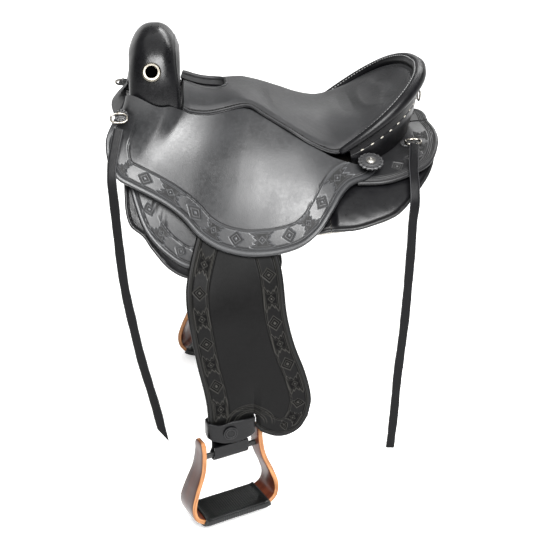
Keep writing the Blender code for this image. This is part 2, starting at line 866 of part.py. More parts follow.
FENDER_TOP = ((-0.137, -0.0665), (-0.105, -0.0800), (-0.068, -0.0873), (-0.037, -0.0872), (-0.009, -0.0835))
FENDER_LEFT = (
    (-0.137, -0.0665),
    (-0.149, -0.1020),
    (-0.158, -0.1400),
    (-0.1585, -0.1700),
    (-0.153, -0.2150),
    (-0.143, -0.2810),
    (-0.133, -0.3300),
    (-0.129, -0.3600),
    (-0.128, -0.4000),
)
FENDER_RIGHT = (
    (-0.009, -0.0835),
    (-0.001, -0.1160),
    (0.006, -0.1850),
    (0.019, -0.2420),
    (0.038, -0.2970),
    (0.048, -0.3450),
    (0.043, -0.3800),
)
FENDER_BOTTOM = (
    (-0.128, -0.4000),
    (-0.051, -0.4000),
    (-0.033, -0.4110),
    (-0.012, -0.4190),
    (0.009, -0.4170),
    (0.029, -0.4040),
    (0.043, -0.3800),
)
HANG_FROM = 0.246
HANG_LIFT = 0.0288
HANG_DOWN_TO = -0.210


def hang_y(x, z):
    """How far out the fender hangs: off the skirt it curves over into the vertical."""
    start = back_point(x, HANG_FROM, HANG_LIFT)
    slope = (back_point(x, HANG_FROM + 0.01, HANG_LIFT) - start) / 0.01
    if z >= start.z:
        return start.y + slope.y * (start.z - z) / -slope.z
    if z <= HANG_DOWN_TO:
        return -HANG_Y
    drop = start.z - HANG_DOWN_TO
    low, high = 0.0, 1.0
    for _ in range(30):
        t = (low + high) / 2
        height = hermite(start.z, HANG_DOWN_TO, slope.z * drop, -drop, t)
        if height > z:
            low = t
        else:
            high = t
    return hermite(start.y, -HANG_Y, slope.y * drop, 0.0, t)


def neck_twist(x, z):
    """How far the fender's neck is turned in toward the stirrup's own angle."""
    share = min(max((-0.300 - z) / 0.085, 0.0), 1.0)
    share = share * share * (3 - 2 * share)
    reach = min(x, SLOT_X) - NECK_X
    back_out = max(0.0, 1 - max(0.0, x - SLOT_X) / 0.012)
    return share * math.tan(math.radians(NECK_TURN)) * reach * back_out


def hermite(a, b, slope_a, slope_b, t):
    return (
        (2 * t**3 - 3 * t**2 + 1) * a
        + (t**3 - 2 * t**2 + t) * slope_a
        + (3 * t**2 - 2 * t**3) * b
        + (t**3 - t**2) * slope_b
    )


def patch(top, bottom, left, right, u, v):
    """A point of the patch between four edge lines: u runs along the top, v down the sides."""
    t, b, lf, r = along(top, u), along(bottom, u), along(left, v), along(right, v)
    corners = (top[0], top[-1], bottom[0], bottom[-1])
    point = []
    for k in range(2):
        c = [corner[k] for corner in corners]
        flat = (1 - v) * ((1 - u) * c[0] + u * c[1]) + v * ((1 - u) * c[2] + u * c[3])
        point.append((1 - v) * t[k] + v * b[k] + (1 - u) * lf[k] + u * r[k] - flat)
    return point


def build_fender(side, origin):
    grid = []
    for v in steps(20):
        row = []
        for u in steps(8):
            x, z = patch(FENDER_TOP, FENDER_BOTTOM, FENDER_LEFT, FENDER_RIGHT, u, v)
            row.append(mirrored((x, hang_y(x, z) + neck_twist(x, z), z), side))
        grid.append(row)
    half = FENDER_THICK / 2
    fender = plate(side_name("fender", side), "tooled_leather", grid, -half, half, origin)
    slot_z = -0.377
    sections = []
    for z in (slot_z, slot_z - 0.06):
        corners = ((-0.0035, -0.02), (0.0035, -0.02), (0.0035, 0.02), (-0.0035, 0.02))
        sections.append([Vector((SLOT_X + x, side * HANG_Y + y, z)) for x, y in corners])
    cut(fender, sweep(side_name("hobble_slot", side) + "_cutter", "tooled_leather", sections))


BOLT_CENTRE = Vector((STIRRUP_CENTRE[0], -STIRRUP_CENTRE[1], BOLT_Z))
LOOP_RADIUS = 0.0085
STRAP_Y = -0.2742
STRAP_HALF_WIDTH = 0.0325


def stirrup_axes(side):
    """The stirrup's own axes: along its bolt and through the foot opening."""
    turn = math.radians(STIRRUP_TURN)
    bolt = Vector((math.cos(turn), -side * math.sin(turn), 0))
    return bolt, Vector((0, 0, 1)).cross(bolt)


def build_stirrup_leather(side, origin):
    """The hanging strap behind the fender, which loops round the stirrup bolt."""
    bolt, _ = stirrup_axes(-1)
    through = Vector((0, 0, 1)).cross(bolt)
    rows = []
    for z in (-0.118, -0.150, -0.185, -0.225, -0.275, -0.320):
        gap = (HANG_Y + STRAP_Y) if z < HANG_DOWN_TO else (HANG_Y + STRAP_Y) * 1.15
        x = -0.080 - 0.010 * (-0.118 - z) / 0.24
        rows.append((Vector((x, hang_y(x, z) + gap, z)), Vector((1, 0, 0))))
    half_turn = math.radians(NECK_TURN / 2)
    rows.append((Vector((-0.090, STRAP_Y, -0.352)), Vector((math.cos(half_turn), math.sin(half_turn), 0))))
    centre = BOLT_CENTRE
    for z, turn, share in ((-0.385, 12, 0.0), (-0.405, 13, 0.1), (-0.422, 17, 0.5), (-0.434, 23, 1.0)):
        turn = math.radians(turn)
        across = Vector((math.cos(turn), math.sin(turn), 0))
        x = -0.0905 + (centre.x - -0.0905) * share
        y = STRAP_Y + (centre.y + LOOP_RADIUS - STRAP_Y) * share
        rows.append((Vector((x, y, z)), across))
    for n in range(7):
        angle = math.pi * n / 6
        spot = centre + through * (LOOP_RADIUS * math.cos(angle)) - Vector((0, 0, LOOP_RADIUS * math.sin(angle)))
        rows.append((spot, bolt))
    rows.append((centre - through * LOOP_RADIUS + Vector((0, 0, 0.018)), bolt))
    grid = []
    for spot, across in rows:
        points = [spot + across * (STRAP_HALF_WIDTH * w) for w in (-1, -0.33, 0.33, 1)]
        grid.append([mirrored(p, side) for p in points])
    half = LEATHER_THICK / 2
    plate(side_name("stirrup_leather", side), "black_leather", grid, -half, half, origin)


def band(name, kind, centre, half_x, half_y, thick, top, bottom, origin, turn=0.0):
    """A closed strap band round the hanging leathers, turned in by so many degrees."""
    turn = math.radians(turn) * (-1 if centre[1] > 0 else 1)
    wide = Vector((math.cos(turn), math.sin(turn), 0))
    deep = Vector((-math.sin(turn), math.cos(turn), 0))
    outer, inner = [], []
    for z in (bottom, bottom * 0.5 + top * 0.5, top):
        rings = []
        for extra in (thick, 0.0):
            ring = []
            for n in range(28):
                c, s = rounded(2 * math.pi * n / 28, 5.0)
                spot = wide * ((half_x + extra) * c) + deep * ((half_y + extra) * s)
                ring.append(Vector((*centre, z)) + spot)
            rings.append(ring)
        outer.append(rings[0])
        inner.append(rings[1])
    return tunnel(name, kind, outer, inner, origin)


def stirrup_path():
    """The bent wood frame's centre line (across, up, width), from one arm's top to the other's."""
    half = (
        (-0.0545, -0.010, 0.027),
        (-0.0540, -0.033, 0.032),
        (-0.0585, -0.065, 0.039),
        (-0.0720, -0.100, 0.047),
        (-0.0800, -0.128, 0.053),
        (-0.0760, -0.148, 0.057),
        (-0.0600, -0.159, 0.060),
        (-0.0400, -0.160, 0.060),
        (-0.0200, -0.160, 0.060),
    )
    return half + tuple((-u, v, w) for u, v, w in half[::-1])


def stirrup_sections(side, first, last, count, grow=0.0, inset=0.0, power=6.0):
    """Rounded oblong sections along the frame between two shares of its length."""
    bolt, through = stirrup_axes(side)
    path = stirrup_path()
    centre = Vector((STIRRUP_CENTRE[0], side * STIRRUP_CENTRE[1], STIRRUP_TOP_Z))
    sections = []
    for n in range(count + 1):
        t = first + (last - first) * n / count
        u, v, width = along(path, t)
        ahead = along(path, min(t + 0.01, 1.0))
        behind = along(path, max(t - 0.01, 0.0))
        run = Vector((ahead[0] - behind[0], ahead[1] - behind[1])).normalized()
        across = bolt * -run.y + Vector((0, 0, run.x))
        spot = centre + bolt * u + Vector((0, 0, v))
        section = []
        for k in range(12):
            c, s = rounded(2 * math.pi * (k + 0.5) / 12, power)
            wide = through * (c * (width / 2 + grow - inset))
            section.append(spot + wide + across * (s * (STIRRUP_THICK / 2 + grow - inset)))
        sections.append(section)
    return sections


def build_stirrup(side):
    bolt, through = stirrup_axes(side)
    hinge = mirrored(BOLT_CENTRE, side)
    stirrup = sweep(side_name("stirrup", side), "wood", stirrup_sections(side, 0, 1, 28), origin=hinge)
    sections = []
    for reach in (-0.085, 0.085):
        sections.append(ring_points(hinge + bolt * reach, through, BOLT_RADIUS + 0.0005, 16))
    cut(stirrup, sweep(side_name("bolt_hole", side) + "_cutter", "wood", sections))
    sections = []
    reach = BOLT_REACH
    for place, radius in ((-reach, 0.8), (-reach + 0.001, 1.0), (reach - 0.001, 1.0), (reach, 0.8)):
        sections.append(ring_points(hinge + bolt * place, through, BOLT_RADIUS * radius, 16))
    sweep(side_name("stirrup_bolt", side), "steel", sections, origin=hinge)
    outer = stirrup_sections(side, *TREAD_SPAN, TREAD_STEPS, grow=TREAD_COVER[1])
    inner = stirrup_sections(side, *TREAD_SPAN, TREAD_STEPS, grow=TREAD_COVER[0])
    tunnel(side_name("tread_cover", side), "black_leather", outer, inner, hinge)


def ring_points(centre, spoke, radius, count):
    up = Vector((0, 0, 1))
    points = []
    for n in range(count):
        angle = 2 * math.pi * n / count
        points.append(centre + (spoke * math.cos(angle) + up * math.sin(angle)) * radius)
    return points


def build_hanging_gear(side):
    hinge = mirrored((Vector(FENDER_HINGE[0]) * 0.5 + Vector(FENDER_HINGE[1]) * 0.5) * Vector((1, -1, 1)), side)
    upper, lower = level(STRAP[1], STRAP_UPPER), level(STRAP[1], STRAP_LOWER)
    panel("stirrup_strap", "black_leather", upper, lower, STRAP[1] - STRAP[0], side, 6, 3)
    build_fender(side, hinge)
    build_stirrup_leather(side, hinge)
    centre = (NECK_X, side * 0.2795)
    strap = (centre, 0.0400, 0.0125, 0.0028, -0.380, -0.423, hinge, NECK_TURN)
    band(side_name("hobble_strap", side), "black_leather", *strap)
    buckle = ((-0.0877, side * -STRAP_Y), 0.0345, 0.0026, 0.0016, -0.290, -0.316, hinge)
    band(side_name("stirrup_buckle", side), "steel", *buckle)
    turn = math.radians(NECK_TURN)
    out = Vector((-math.sin(turn) * -1, side * math.cos(turn), 0))
    spot = Vector((-0.0905, side * 0.2963, -0.4010))
    profile = ((0.0125, 0.0), (0.0125, 0.0016), (0.0095, 0.0028), (0.004, 0.0030))
    turned(side_name("hobble_concho", side), "black_leather", spot, out, profile, sides=20, origin=hinge)
    build_stirrup(side)


STRAP_UPPER = ((-0.112, 0.126), (-0.037, 0.126))
STRAP_LOWER = ((-0.108, 0.228), (-0.043, 0.228))


def build_rigging(side):
    upper = level(STRAP[1], ((-0.222, 0.128), (-0.162, 0.128)))
    lower = level(STRAP[1], ((-0.205, 0.186), (-0.176, 0.196)))
    panel("rigging_plate", "steel", upper, lower, 0.0025, side, 3, 3)


# ---------------------------------------------------------------- build

for old in list(bpy.data.objects):
    bpy.data.objects.remove(old, do_unlink=True)

build_pommel()
build_seat()
build_cantle()
build_cantle_fittings()
for each_side in (-1, 1):
    build_side(each_side)
    build_rigging(each_side)
    build_fittings(each_side)
    build_hanging_gear(each_side)
build_string("front_string_left", FRONT_STRING, dee_hinge(STRING_DEE, -1))
build_string("rear_string_left", REAR_STRING, dee_hinge(REAR_DEE, -1))
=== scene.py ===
import math

import bmesh
import bpy
import numpy as np
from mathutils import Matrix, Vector


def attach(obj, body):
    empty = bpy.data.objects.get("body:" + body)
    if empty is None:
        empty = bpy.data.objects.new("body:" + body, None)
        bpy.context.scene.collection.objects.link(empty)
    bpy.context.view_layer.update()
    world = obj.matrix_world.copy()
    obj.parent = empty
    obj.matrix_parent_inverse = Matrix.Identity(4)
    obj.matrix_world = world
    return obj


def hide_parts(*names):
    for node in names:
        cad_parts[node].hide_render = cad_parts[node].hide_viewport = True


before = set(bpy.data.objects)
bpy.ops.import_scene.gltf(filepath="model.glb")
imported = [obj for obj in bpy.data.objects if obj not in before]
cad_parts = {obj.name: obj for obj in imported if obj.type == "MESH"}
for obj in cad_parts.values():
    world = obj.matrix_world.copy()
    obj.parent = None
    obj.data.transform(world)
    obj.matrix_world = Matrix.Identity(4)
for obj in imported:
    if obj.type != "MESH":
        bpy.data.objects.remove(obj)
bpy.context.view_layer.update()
scene = bpy.context.scene
scene.view_settings.view_transform = "Standard"

# ---------------------------------------------------------------- camera

LOOK_AT = Vector((0.0, 0.0, -0.235))
AZIMUTH, ELEVATION, DISTANCE = math.radians(-4.5), math.radians(25.0), 2.2
away = Vector((
    math.sin(AZIMUTH) * math.cos(ELEVATION),
    -math.cos(AZIMUTH) * math.cos(ELEVATION),
    math.sin(ELEVATION),
))
camera_data = bpy.data.cameras.new("camera")
camera_data.lens = 78.0
camera_data.sensor_width = 36.0
camera = bpy.data.objects.new("camera", camera_data)
camera.location = LOOK_AT + away * DISTANCE
camera.rotation_euler = (-away).to_track_quat("-Z", "Y").to_euler()
scene.collection.objects.link(camera)
scene.camera = camera

# ---------------------------------------------------------------- curves and surfaces

BACK_X = (-0.30, -0.20, -0.10, 0.0, 0.10, 0.20, 0.30)
RIDGE_Z = (0.125, 0.100, 0.055, 0.022, 0.014, 0.016, 0.022)
RIDGE_SLOPE = (40, 34, 18, 4, 0.5, 0.5, 0.5)
SPAN_SLOPE = (64, 62, 60, 56, 44, 38, 34)
SPAN = 0.30


def length_of(vectors):
    return np.linalg.norm(vectors, axis=-1)


def unit(vectors):
    return vectors / np.maximum(length_of(vectors), 1e-12)[..., None]


def reach_of(line):
    """How far along a line of points each point is."""
    return np.concatenate([[0], np.cumsum(length_of(np.diff(line, axis=0)))])


def spot_at(place, reach, line):
    """Points of a line at places along it, straight between its own points."""
    return np.stack([np.interp(place, reach, line[:, k]) for k in range(3)], -1)


def spokes(across, up, angle):
    """Directions at each angle, from across round to up."""
    return across * np.cos(angle)[..., None] + up * np.sin(angle)[..., None]


def smooth(places, values, at):
    """A smooth curve through values at places, straight beyond both ends."""
    places = np.asarray(places, float)
    values = np.asarray(values, float).reshape(len(places), -1)
    at = np.asarray(at, float)
    last = len(places) - 1
    before = np.maximum(np.arange(last + 1) - 1, 0)
    after = np.minimum(np.arange(last + 1) + 1, last)
    slopes = (values[after] - values[before]) / (places[after] - places[before])[:, None]
    i = np.clip(np.searchsorted(places, at, side="right") - 1, 0, last - 1)
    gap = (places[i + 1] - places[i])[..., None]
    t = (at[..., None] - places[i][..., None]) / gap
    low, high = np.minimum(t, 0), np.maximum(t - 1, 0)
    t = np.clip(t, 0, 1)
    out = (2 * t**3 - 3 * t**2 + 1) * values[i] + (t**3 - 2 * t**2 + t) * gap * slopes[i]
    out += (3 * t**2 - 2 * t**3) * values[i + 1] + (t**3 - t**2) * gap * slopes[i + 1]
    return out + gap * (low * slopes[0] + high * slopes[last])


def along(points, t):
    """Points at shares t of the length of a smooth curve through the points."""
    points = np.asarray(points, float)
    reach = reach_of(points)
    return smooth(reach, points, np.asarray(t, float) * reach[-1])


def back(x, s, lift=0.0):
    """Points lift above the horse's back, s down from its ridge, on the near side."""
    start = np.radians(smooth(BACK_X, RIDGE_SLOPE, x)[..., 0])
    end = np.radians(smooth(BACK_X, SPAN_SLOPE, x)[..., 0])
    bend = (end - start) / SPAN
    slope = start + bend * s
    y = (np.sin(slope) - np.sin(start)) / bend
    z = smooth(BACK_X, RIDGE_Z, x)[..., 0] - (np.cos(start) - np.cos(slope)) / bend
    return np.stack([x + 0 * y, -y - lift * np.sin(slope), z + lift * np.cos(slope)], -1)


def back_normal(x, s):
    """The unit normals off the horse's back."""
    return unit(back(x, s, 1.0) - back(x, s))


def rounded(angle, power):
    """Points on a rounded square of half-size 1."""
    c, s = np.cos(angle), np.sin(angle)
    return np.sign(c) * abs(c) ** (2 / power), np.sign(s) * abs(s) ** (2 / power)


def ramp(value, low, high):
    """0 below low, 1 above high, smooth between."""
    t = np.clip((value - low) / (high - low), 0, 1)
    return t * t * (3 - 2 * t)


def ridge(value, middle, half):
    """1 at the middle, falling smoothly to 0 at half to each side."""
    t = np.clip(1 - abs(value - middle) / half, 0, 1)
    return t * t * (3 - 2 * t)


def rolled(far, radius):
    """The round shoulder of an edge: 0 at the edge, 1 past the radius."""
    return np.sqrt(np.clip(1 - (1 - np.clip(far / radius, 0, 1)) ** 2, 0, 1))


def lumps(points, size, seed):
    """Smooth noise from -1 to 1, for an array of points."""
    random = np.random.default_rng(seed)
    total = 0
    for _ in range(6):
        way = unit(random.normal(size=3)) * 2 * math.pi / size * random.uniform(0.7, 1.4)
        total = total + np.sin(points @ way + random.uniform(0, 6.3))
    return total / 6


def edge_field(points, line):
    """How far each 2-D point is from a line, and how far along the line that is."""
    first, seg = line[:-1], np.diff(line, axis=0)
    size = length_of(seg)
    start = np.concatenate([[0], np.cumsum(size)[:-1]])
    flat = points.reshape(-1, points.shape[-1])
    far, place = np.empty(len(flat)), np.empty(len(flat))
    for a in range(0, len(flat), 5000):
        rel = flat[a : a + 5000, None, :] - first[None]
        t = np.clip((rel * seg).sum(-1) / size**2, 0, 1)
        gap = length_of(rel - t[..., None] * seg)
        k = gap.argmin(1)
        rows = np.arange(len(k))
        far[a : a + 5000] = gap[rows, k]
        place[a : a + 5000] = start[k] + t[rows, k] * size[k]
    return far.reshape(points.shape[:-1]), place.reshape(points.shape[:-1])


# ---------------------------------------------------------------- mesh makers


def mesh_object(name, points, quads, marks=None, sharp=40):
    """A mesh of quads (or triangles) facing out, with float marks on its points."""
    quads = np.asarray(quads, np.int32)
    points = np.asarray(points, float)
    a, b, c = points[quads[:, 0]], points[quads[:, 1]], points[quads[:, 2]]
    volume = np.einsum("ij,ij->", a, np.cross(b, c))
    if quads.shape[1] == 4:
        volume += np.einsum("ij,ij->", a, np.cross(c, points[quads[:, 3]]))
    if volume < 0:
        quads = quads[:, ::-1]
    mesh = bpy.data.meshes.new(name)
    count, sides = quads.shape
    mesh.vertices.add(len(points))
    mesh.vertices.foreach_set("co", points.ravel())
    mesh.loops.add(count * sides)
    mesh.loops.foreach_set("vertex_index", quads.ravel())
    mesh.polygons.add(count)
    mesh.polygons.foreach_set("loop_start", np.arange(0, count * sides, sides))
    mesh.update(calc_edges=True)
    mesh.shade_smooth()
    mesh.set_sharp_from_angle(angle=math.radians(sharp))
    for key, values in (marks or {}).items():
        layer = mesh.attributes.new(key, "FLOAT", "POINT")
        layer.data.foreach_set("value", np.asarray(values, np.float32).ravel())
    obj = bpy.data.objects.new(name, mesh)
    scene.collection.objects.link(obj)
    return obj


def grid_quads(rows, columns, start=0, wrap_rows=False, wrap_columns=False):
    """The quads of a grid of points numbered from start, joined round where it wraps."""
    i = np.arange(rows if wrap_rows else rows - 1)
    j = np.arange(columns if wrap_columns else columns - 1)
    i, j = [a.ravel() for a in np.meshgrid(i, j, indexing="ij")]
    k, m = (i + 1) % rows, (j + 1) % columns
    return start + np.stack([i * columns + j, k * columns + j, k * columns + m, i * columns + m], 1)


def shell(name, outer, inner, marks=None, sharp=40):
    """The closed solid between two grids of points, joined round the edge."""
    rows, columns = outer.shape[:2]
    count = rows * columns
    rim = list(range(columns)) + [i * columns + columns - 1 for i in range(1, rows)]
    rim += [(rows - 1) * columns + j for j in range(columns - 2, -1, -1)]
    rim += [i * columns for i in range(rows - 2, 0, -1)]
    rim = np.array(rim)
    ahead = np.roll(rim, -1)
    quads = [
        grid_quads(rows, columns),
        grid_quads(rows, columns, count)[:, ::-1],
        np.stack([ahead, rim, rim + count, ahead + count], 1)[:, ::-1],
    ]
    marks = {k: np.concatenate([v.ravel(), np.zeros(count)]) for k, v in (marks or {}).items()}
    points = np.concatenate([outer.reshape(-1, 3), inner.reshape(-1, 3)])
    return mesh_object(name, points, np.concatenate(quads), marks, sharp)


def loft(name, sections, closed=False, marks=None, sharp=40):
    """A solid through rings (rows, around, 3), its ends drawn to a middle point or closed."""
    rows, around = sections.shape[:2]
    points = sections.reshape(-1, 3)
    quads = grid_quads(rows, around, wrap_rows=closed, wrap_columns=True)
    if not closed:
        middle = np.stack([sections[0].mean(0), sections[-1].mean(0)])
        points = np.concatenate([points, middle])
        j = np.arange(around)
        for ring, centre in ((0, rows * around), ((rows - 1) * around, rows * around + 1)):
            fan = np.stack([ring + j, ring + (j + 1) % around, 0 * j + centre, 0 * j + centre], 1)
            quads = np.concatenate([quads, fan if ring == 0 else fan[:, ::-1]])
        extra = {}
        for key, v in (marks or {}).items():
            v = v.reshape(rows, around)
            extra[key] = np.concatenate([v.ravel(), [v[0].mean(), v[-1].mean()]])
        marks = extra
    obj = mesh_object(name, points, quads, marks, sharp)
    clean(obj)
    return obj


def clean(obj):
    """Turn the fans' doubled corners into triangles."""
    work = bmesh.new()
    work.from_mesh(obj.data)
    bmesh.ops.dissolve_degenerate(work, dist=1e-7, edges=work.edges)
    work.to_mesh(obj.data)
    work.free()


def normals_of(grid):
    """The unit normals of a grid of points, outward being down x across."""
    down, across = np.gradient(grid, axis=0), np.gradient(grid, axis=1)
    return unit(np.cross(down, across))


def tube(name, centres, radius, sides, closed=False):
    """A round tube through centres; radius may be an array."""
    centres = np.asarray(centres, float)
    if closed:
        ahead = np.roll(centres, -1, 0) - np.roll(centres, 1, 0)
    else:
        ahead = np.gradient(centres, axis=0)
    ahead = unit(ahead)
    lead = np.array([0.31, 0.17, 0.93])
    side = unit(np.cross(ahead, lead))
    up = np.cross(side, ahead)
    angle = np.linspace(0, 2 * math.pi, sides, endpoint=False)
    ring = spokes(side[:, None], up[:, None], angle)
    radius = np.broadcast_to(np.asarray(radius, float), (len(centres),))
    return loft(name, centres[:, None] + ring * radius[:, None, None], closed)


def frame_of(normal):
    """Level, upward and outward unit directions on a surface with this normal."""
    out = unit(np.asarray(normal, float))
    across = unit(np.cross((0, 0, 1), out))
    return across, np.cross(out, across), out


def mirror_copy(obj, name):
    """The same piece on the far side."""
    mesh = obj.data.copy()
    mesh.name = name
    mesh.transform(((1, 0, 0, 0), (0, -1, 0, 0), (0, 0, 1, 0), (0, 0, 0, 1)))
    mesh.flip_normals()
    copy = bpy.data.objects.new(name, mesh)
    scene.collection.objects.link(copy)
    return copy


def finish_piece(obj, body, material, nodes=()):
    """Give a piece its material and body, and hide the CAD nodes it stands for."""
    obj.data.materials.clear()
    obj.data.materials.append(material)
    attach(obj, body)
    if nodes:
        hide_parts(*nodes)
    return obj


def pair(obj, stem, body, material, node=None):
    """Finish a near-side piece and make its far-side twin."""
    out = []
    for side in ("left", "right"):
        piece = obj if side == "left" else mirror_copy(obj, f"{stem}_right_look")
        part = body if body == "saddle" else f"{body}_{side}"
        nodes = [f"{node}_{side}"] if node else []
        out.append(finish_piece(piece, part, material, nodes))
    return out


# ---------------------------------------------------------------- materials


def new_material(name):
    """A new material, its node tree, its shader and a socket with places on the object."""
    material = bpy.data.materials.new(name)
    material.use_nodes = True
    tree = material.node_tree
    where = tree.nodes.new("ShaderNodeTexCoord").outputs["Object"]
    return material, tree, tree.nodes["Principled BSDF"], where


def math_node(tree, kind, a, b=None, clamp=False):
    node = tree.nodes.new("ShaderNodeMath")
    node.operation = kind
    node.use_clamp = clamp
    for socket, value in zip(node.inputs, (a, b)):
        if value is None:
            continue
        if isinstance(value, (int, float)):
            socket.default_value = value
        else:
            tree.links.new(value, socket)
    return node.outputs[0]


def mix_colour(tree, share, first, second):
    node = tree.nodes.new("ShaderNodeMix")
    node.data_type = "RGBA"
    tree.links.new(share, node.inputs[0])
    for socket, value in ((node.inputs[6], first), (node.inputs[7], second)):
        if isinstance(value, tuple):
            socket.default_value = (*value, 1.0)
        else:
            tree.links.new(value, socket)
    return node.outputs[2]


def noise(tree, where, scale, detail=3.0, rough=0.55):
    node = tree.nodes.new("ShaderNodeTexNoise")
    node.inputs["Scale"].default_value = scale
    node.inputs["Detail"].default_value = detail
    node.inputs["Roughness"].default_value = rough
    tree.links.new(where, node.inputs["Vector"])
    return node.outputs["Fac"]


def mark(tree, name):
    node = tree.nodes.new("ShaderNodeAttribute")
    node.attribute_name = name
    return node.outputs["Fac"]


def bump(tree, shader, height, strength, distance):
    node = tree.nodes.new("ShaderNodeBump")
    node.inputs["Strength"].default_value = strength
    node.inputs["Distance"].default_value = distance
    tree.links.new(height, node.inputs["Height"])
    tree.links.new(node.outputs["Normal"], shader.inputs["Normal"])


def span(tree, value, low, high, to_low, to_high):
    node = tree.nodes.new("ShaderNodeMapRange")
    node.clamp = True
    for socket, number in zip(node.inputs[1:5], (low, high, to_low, to_high)):
        socket.default_value = number
    tree.links.new(value, node.inputs[0])
    return node.outputs[0]


def leather(name, colour, shine, specular, grain, wear_and_highlight=(0.10, 0.10, 0.105), stamped=(0.006, 0.006, 0.006),
            line=None):
    """Leather: mottled dye, pore grain, raised edges painted lighter (wear and painted highlight), dull
    stamped ground painted darker as shade in the hollows where its stamped colour is darker, and tooled
    outlines painted lighter as highlights.
    """
    material, tree, shader, where = new_material(name)
    cloud = noise(tree, where, 14.0, 4.0)
    fine = noise(tree, where, 160.0, 4.0, 0.65)
    pores = tree.nodes.new("ShaderNodeTexVoronoi")
    pores.inputs["Scale"].default_value = 700.0
    tree.links.new(where, pores.inputs["Vector"])
    dark = tuple(c * 0.62 for c in colour)
    base = mix_colour(tree, span(tree, cloud, 0.35, 0.68, 0, 1), dark, colour)
    base = mix_colour(tree, span(tree, fine, 0.50, 0.85, 0, 0.55), base, tuple(c * 1.7 for c in colour))
    stamp = mark(tree, "stamp")
    # the stamp mark turns the colour to the stamped one: where that is darker than the leather, it is painted
    # shade in the tooled hollows and grooves
    base = mix_colour(tree, stamp, base, stamped)
    if line:
        # the line mark paints highlights on tooled outlines and on the lips of scored lines
        base = mix_colour(tree, mark(tree, "line"), base, line)
    # raised edges and crests turned lighter: partly wear, partly painted highlight
    base = mix_colour(tree, mark(tree, "wear_and_highlight"), base, wear_and_highlight)
    tree.links.new(base, shader.inputs["Base Color"])
    rough = math_node(tree, "ADD", span(tree, cloud, 0.3, 0.7, shine - 0.05, shine + 0.07),
                      span(tree, fine, 0.3, 0.8, -0.04, 0.08))
    rough = math_node(tree, "ADD", rough, math_node(tree, "MULTIPLY", stamp, 0.34), clamp=True)
    tree.links.new(rough, shader.inputs["Roughness"])
    shader.inputs["Specular IOR Level"].default_value = specular
    mat = math_node(tree, "MULTIPLY", math_node(tree, "MULTIPLY", stamp, 1.6), noise(tree, where, 900.0, 2.0))
    height = math_node(tree, "ADD", math_node(tree, "MULTIPLY", pores.outputs["Distance"], 0.55), fine)
    bump(tree, shader, math_node(tree, "ADD", height, mat), grain, 0.0004)
    return material


def metal(name, colour, rough):
    """Plated metal with fine scratches and slight tarnish."""
    material, tree, shader, where = new_material(name)
    cloud = noise(tree, where, 90.0, 4.0)
    dull = tuple(c * 0.55 for c in colour)
    base = mix_colour(tree, span(tree, cloud, 0.42, 0.70, 0, 0.6), colour, dull)
    tree.links.new(base, shader.inputs["Base Color"])
    tree.links.new(span(tree, cloud, 0.3, 0.7, rough - 0.05, rough + 0.12), shader.inputs["Roughness"])
    shader.inputs["Metallic"].default_value = 1.0
    bump(tree, shader, noise(tree, where, 1400.0, 2.0), 0.08, 0.0002)
    return material


def thread(name, colour):
    """Waxed thread with a twist."""
    material, tree, shader, where = new_material(name)
    twist = noise(tree, where, 1200.0, 2.0)
    dark = tuple(c * 0.6 for c in colour)
    tree.links.new(mix_colour(tree, twist, dark, colour), shader.inputs["Base Color"])
    tree.links.new(span(tree, twist, 0.3, 0.7, 0.45, 0.70), shader.inputs["Roughness"])
    shader.inputs["Specular IOR Level"].default_value = 0.12
    bump(tree, shader, twist, 0.5, 0.0003)
    return material


def wool(name, colour):
    """Sheared fleece."""
    material, tree, shader, where = new_material(name)
    curl = noise(tree, where, 260.0, 5.0, 0.7)
    dark = tuple(c * 0.6 for c in colour)
    base = mix_colour(tree, span(tree, curl, 0.3, 0.7, 0, 1), dark, colour)
    tree.links.new(base, shader.inputs["Base Color"])
    tree.links.new(span(tree, curl, 0.3, 0.7, 0.85, 1.0), shader.inputs["Roughness"])
    shader.inputs["Sheen Weight"].default_value = 0.5
    shader.inputs["Sheen Roughness"].default_value = 0.6
    bump(tree, shader, curl, 1.0, 0.002)
    return material


def rawhide(name):
    """The tree's rawhide over wood, coloured near black: painted shade, as it shows only in the gaps between
    the leathers.
    """
    material, tree, shader, where = new_material(name)
    cloud = noise(tree, where, 24.0, 5.0)
    base = mix_colour(tree, cloud, (0.003, 0.0025, 0.002), (0.010, 0.008, 0.006))
    tree.links.new(base, shader.inputs["Base Color"])
    tree.links.new(span(tree, cloud, 0.3, 0.7, 0.40, 0.60), shader.inputs["Roughness"])
    bump(tree, shader, noise(tree, where, 120.0, 4.0), 0.4, 0.0006)
    return material


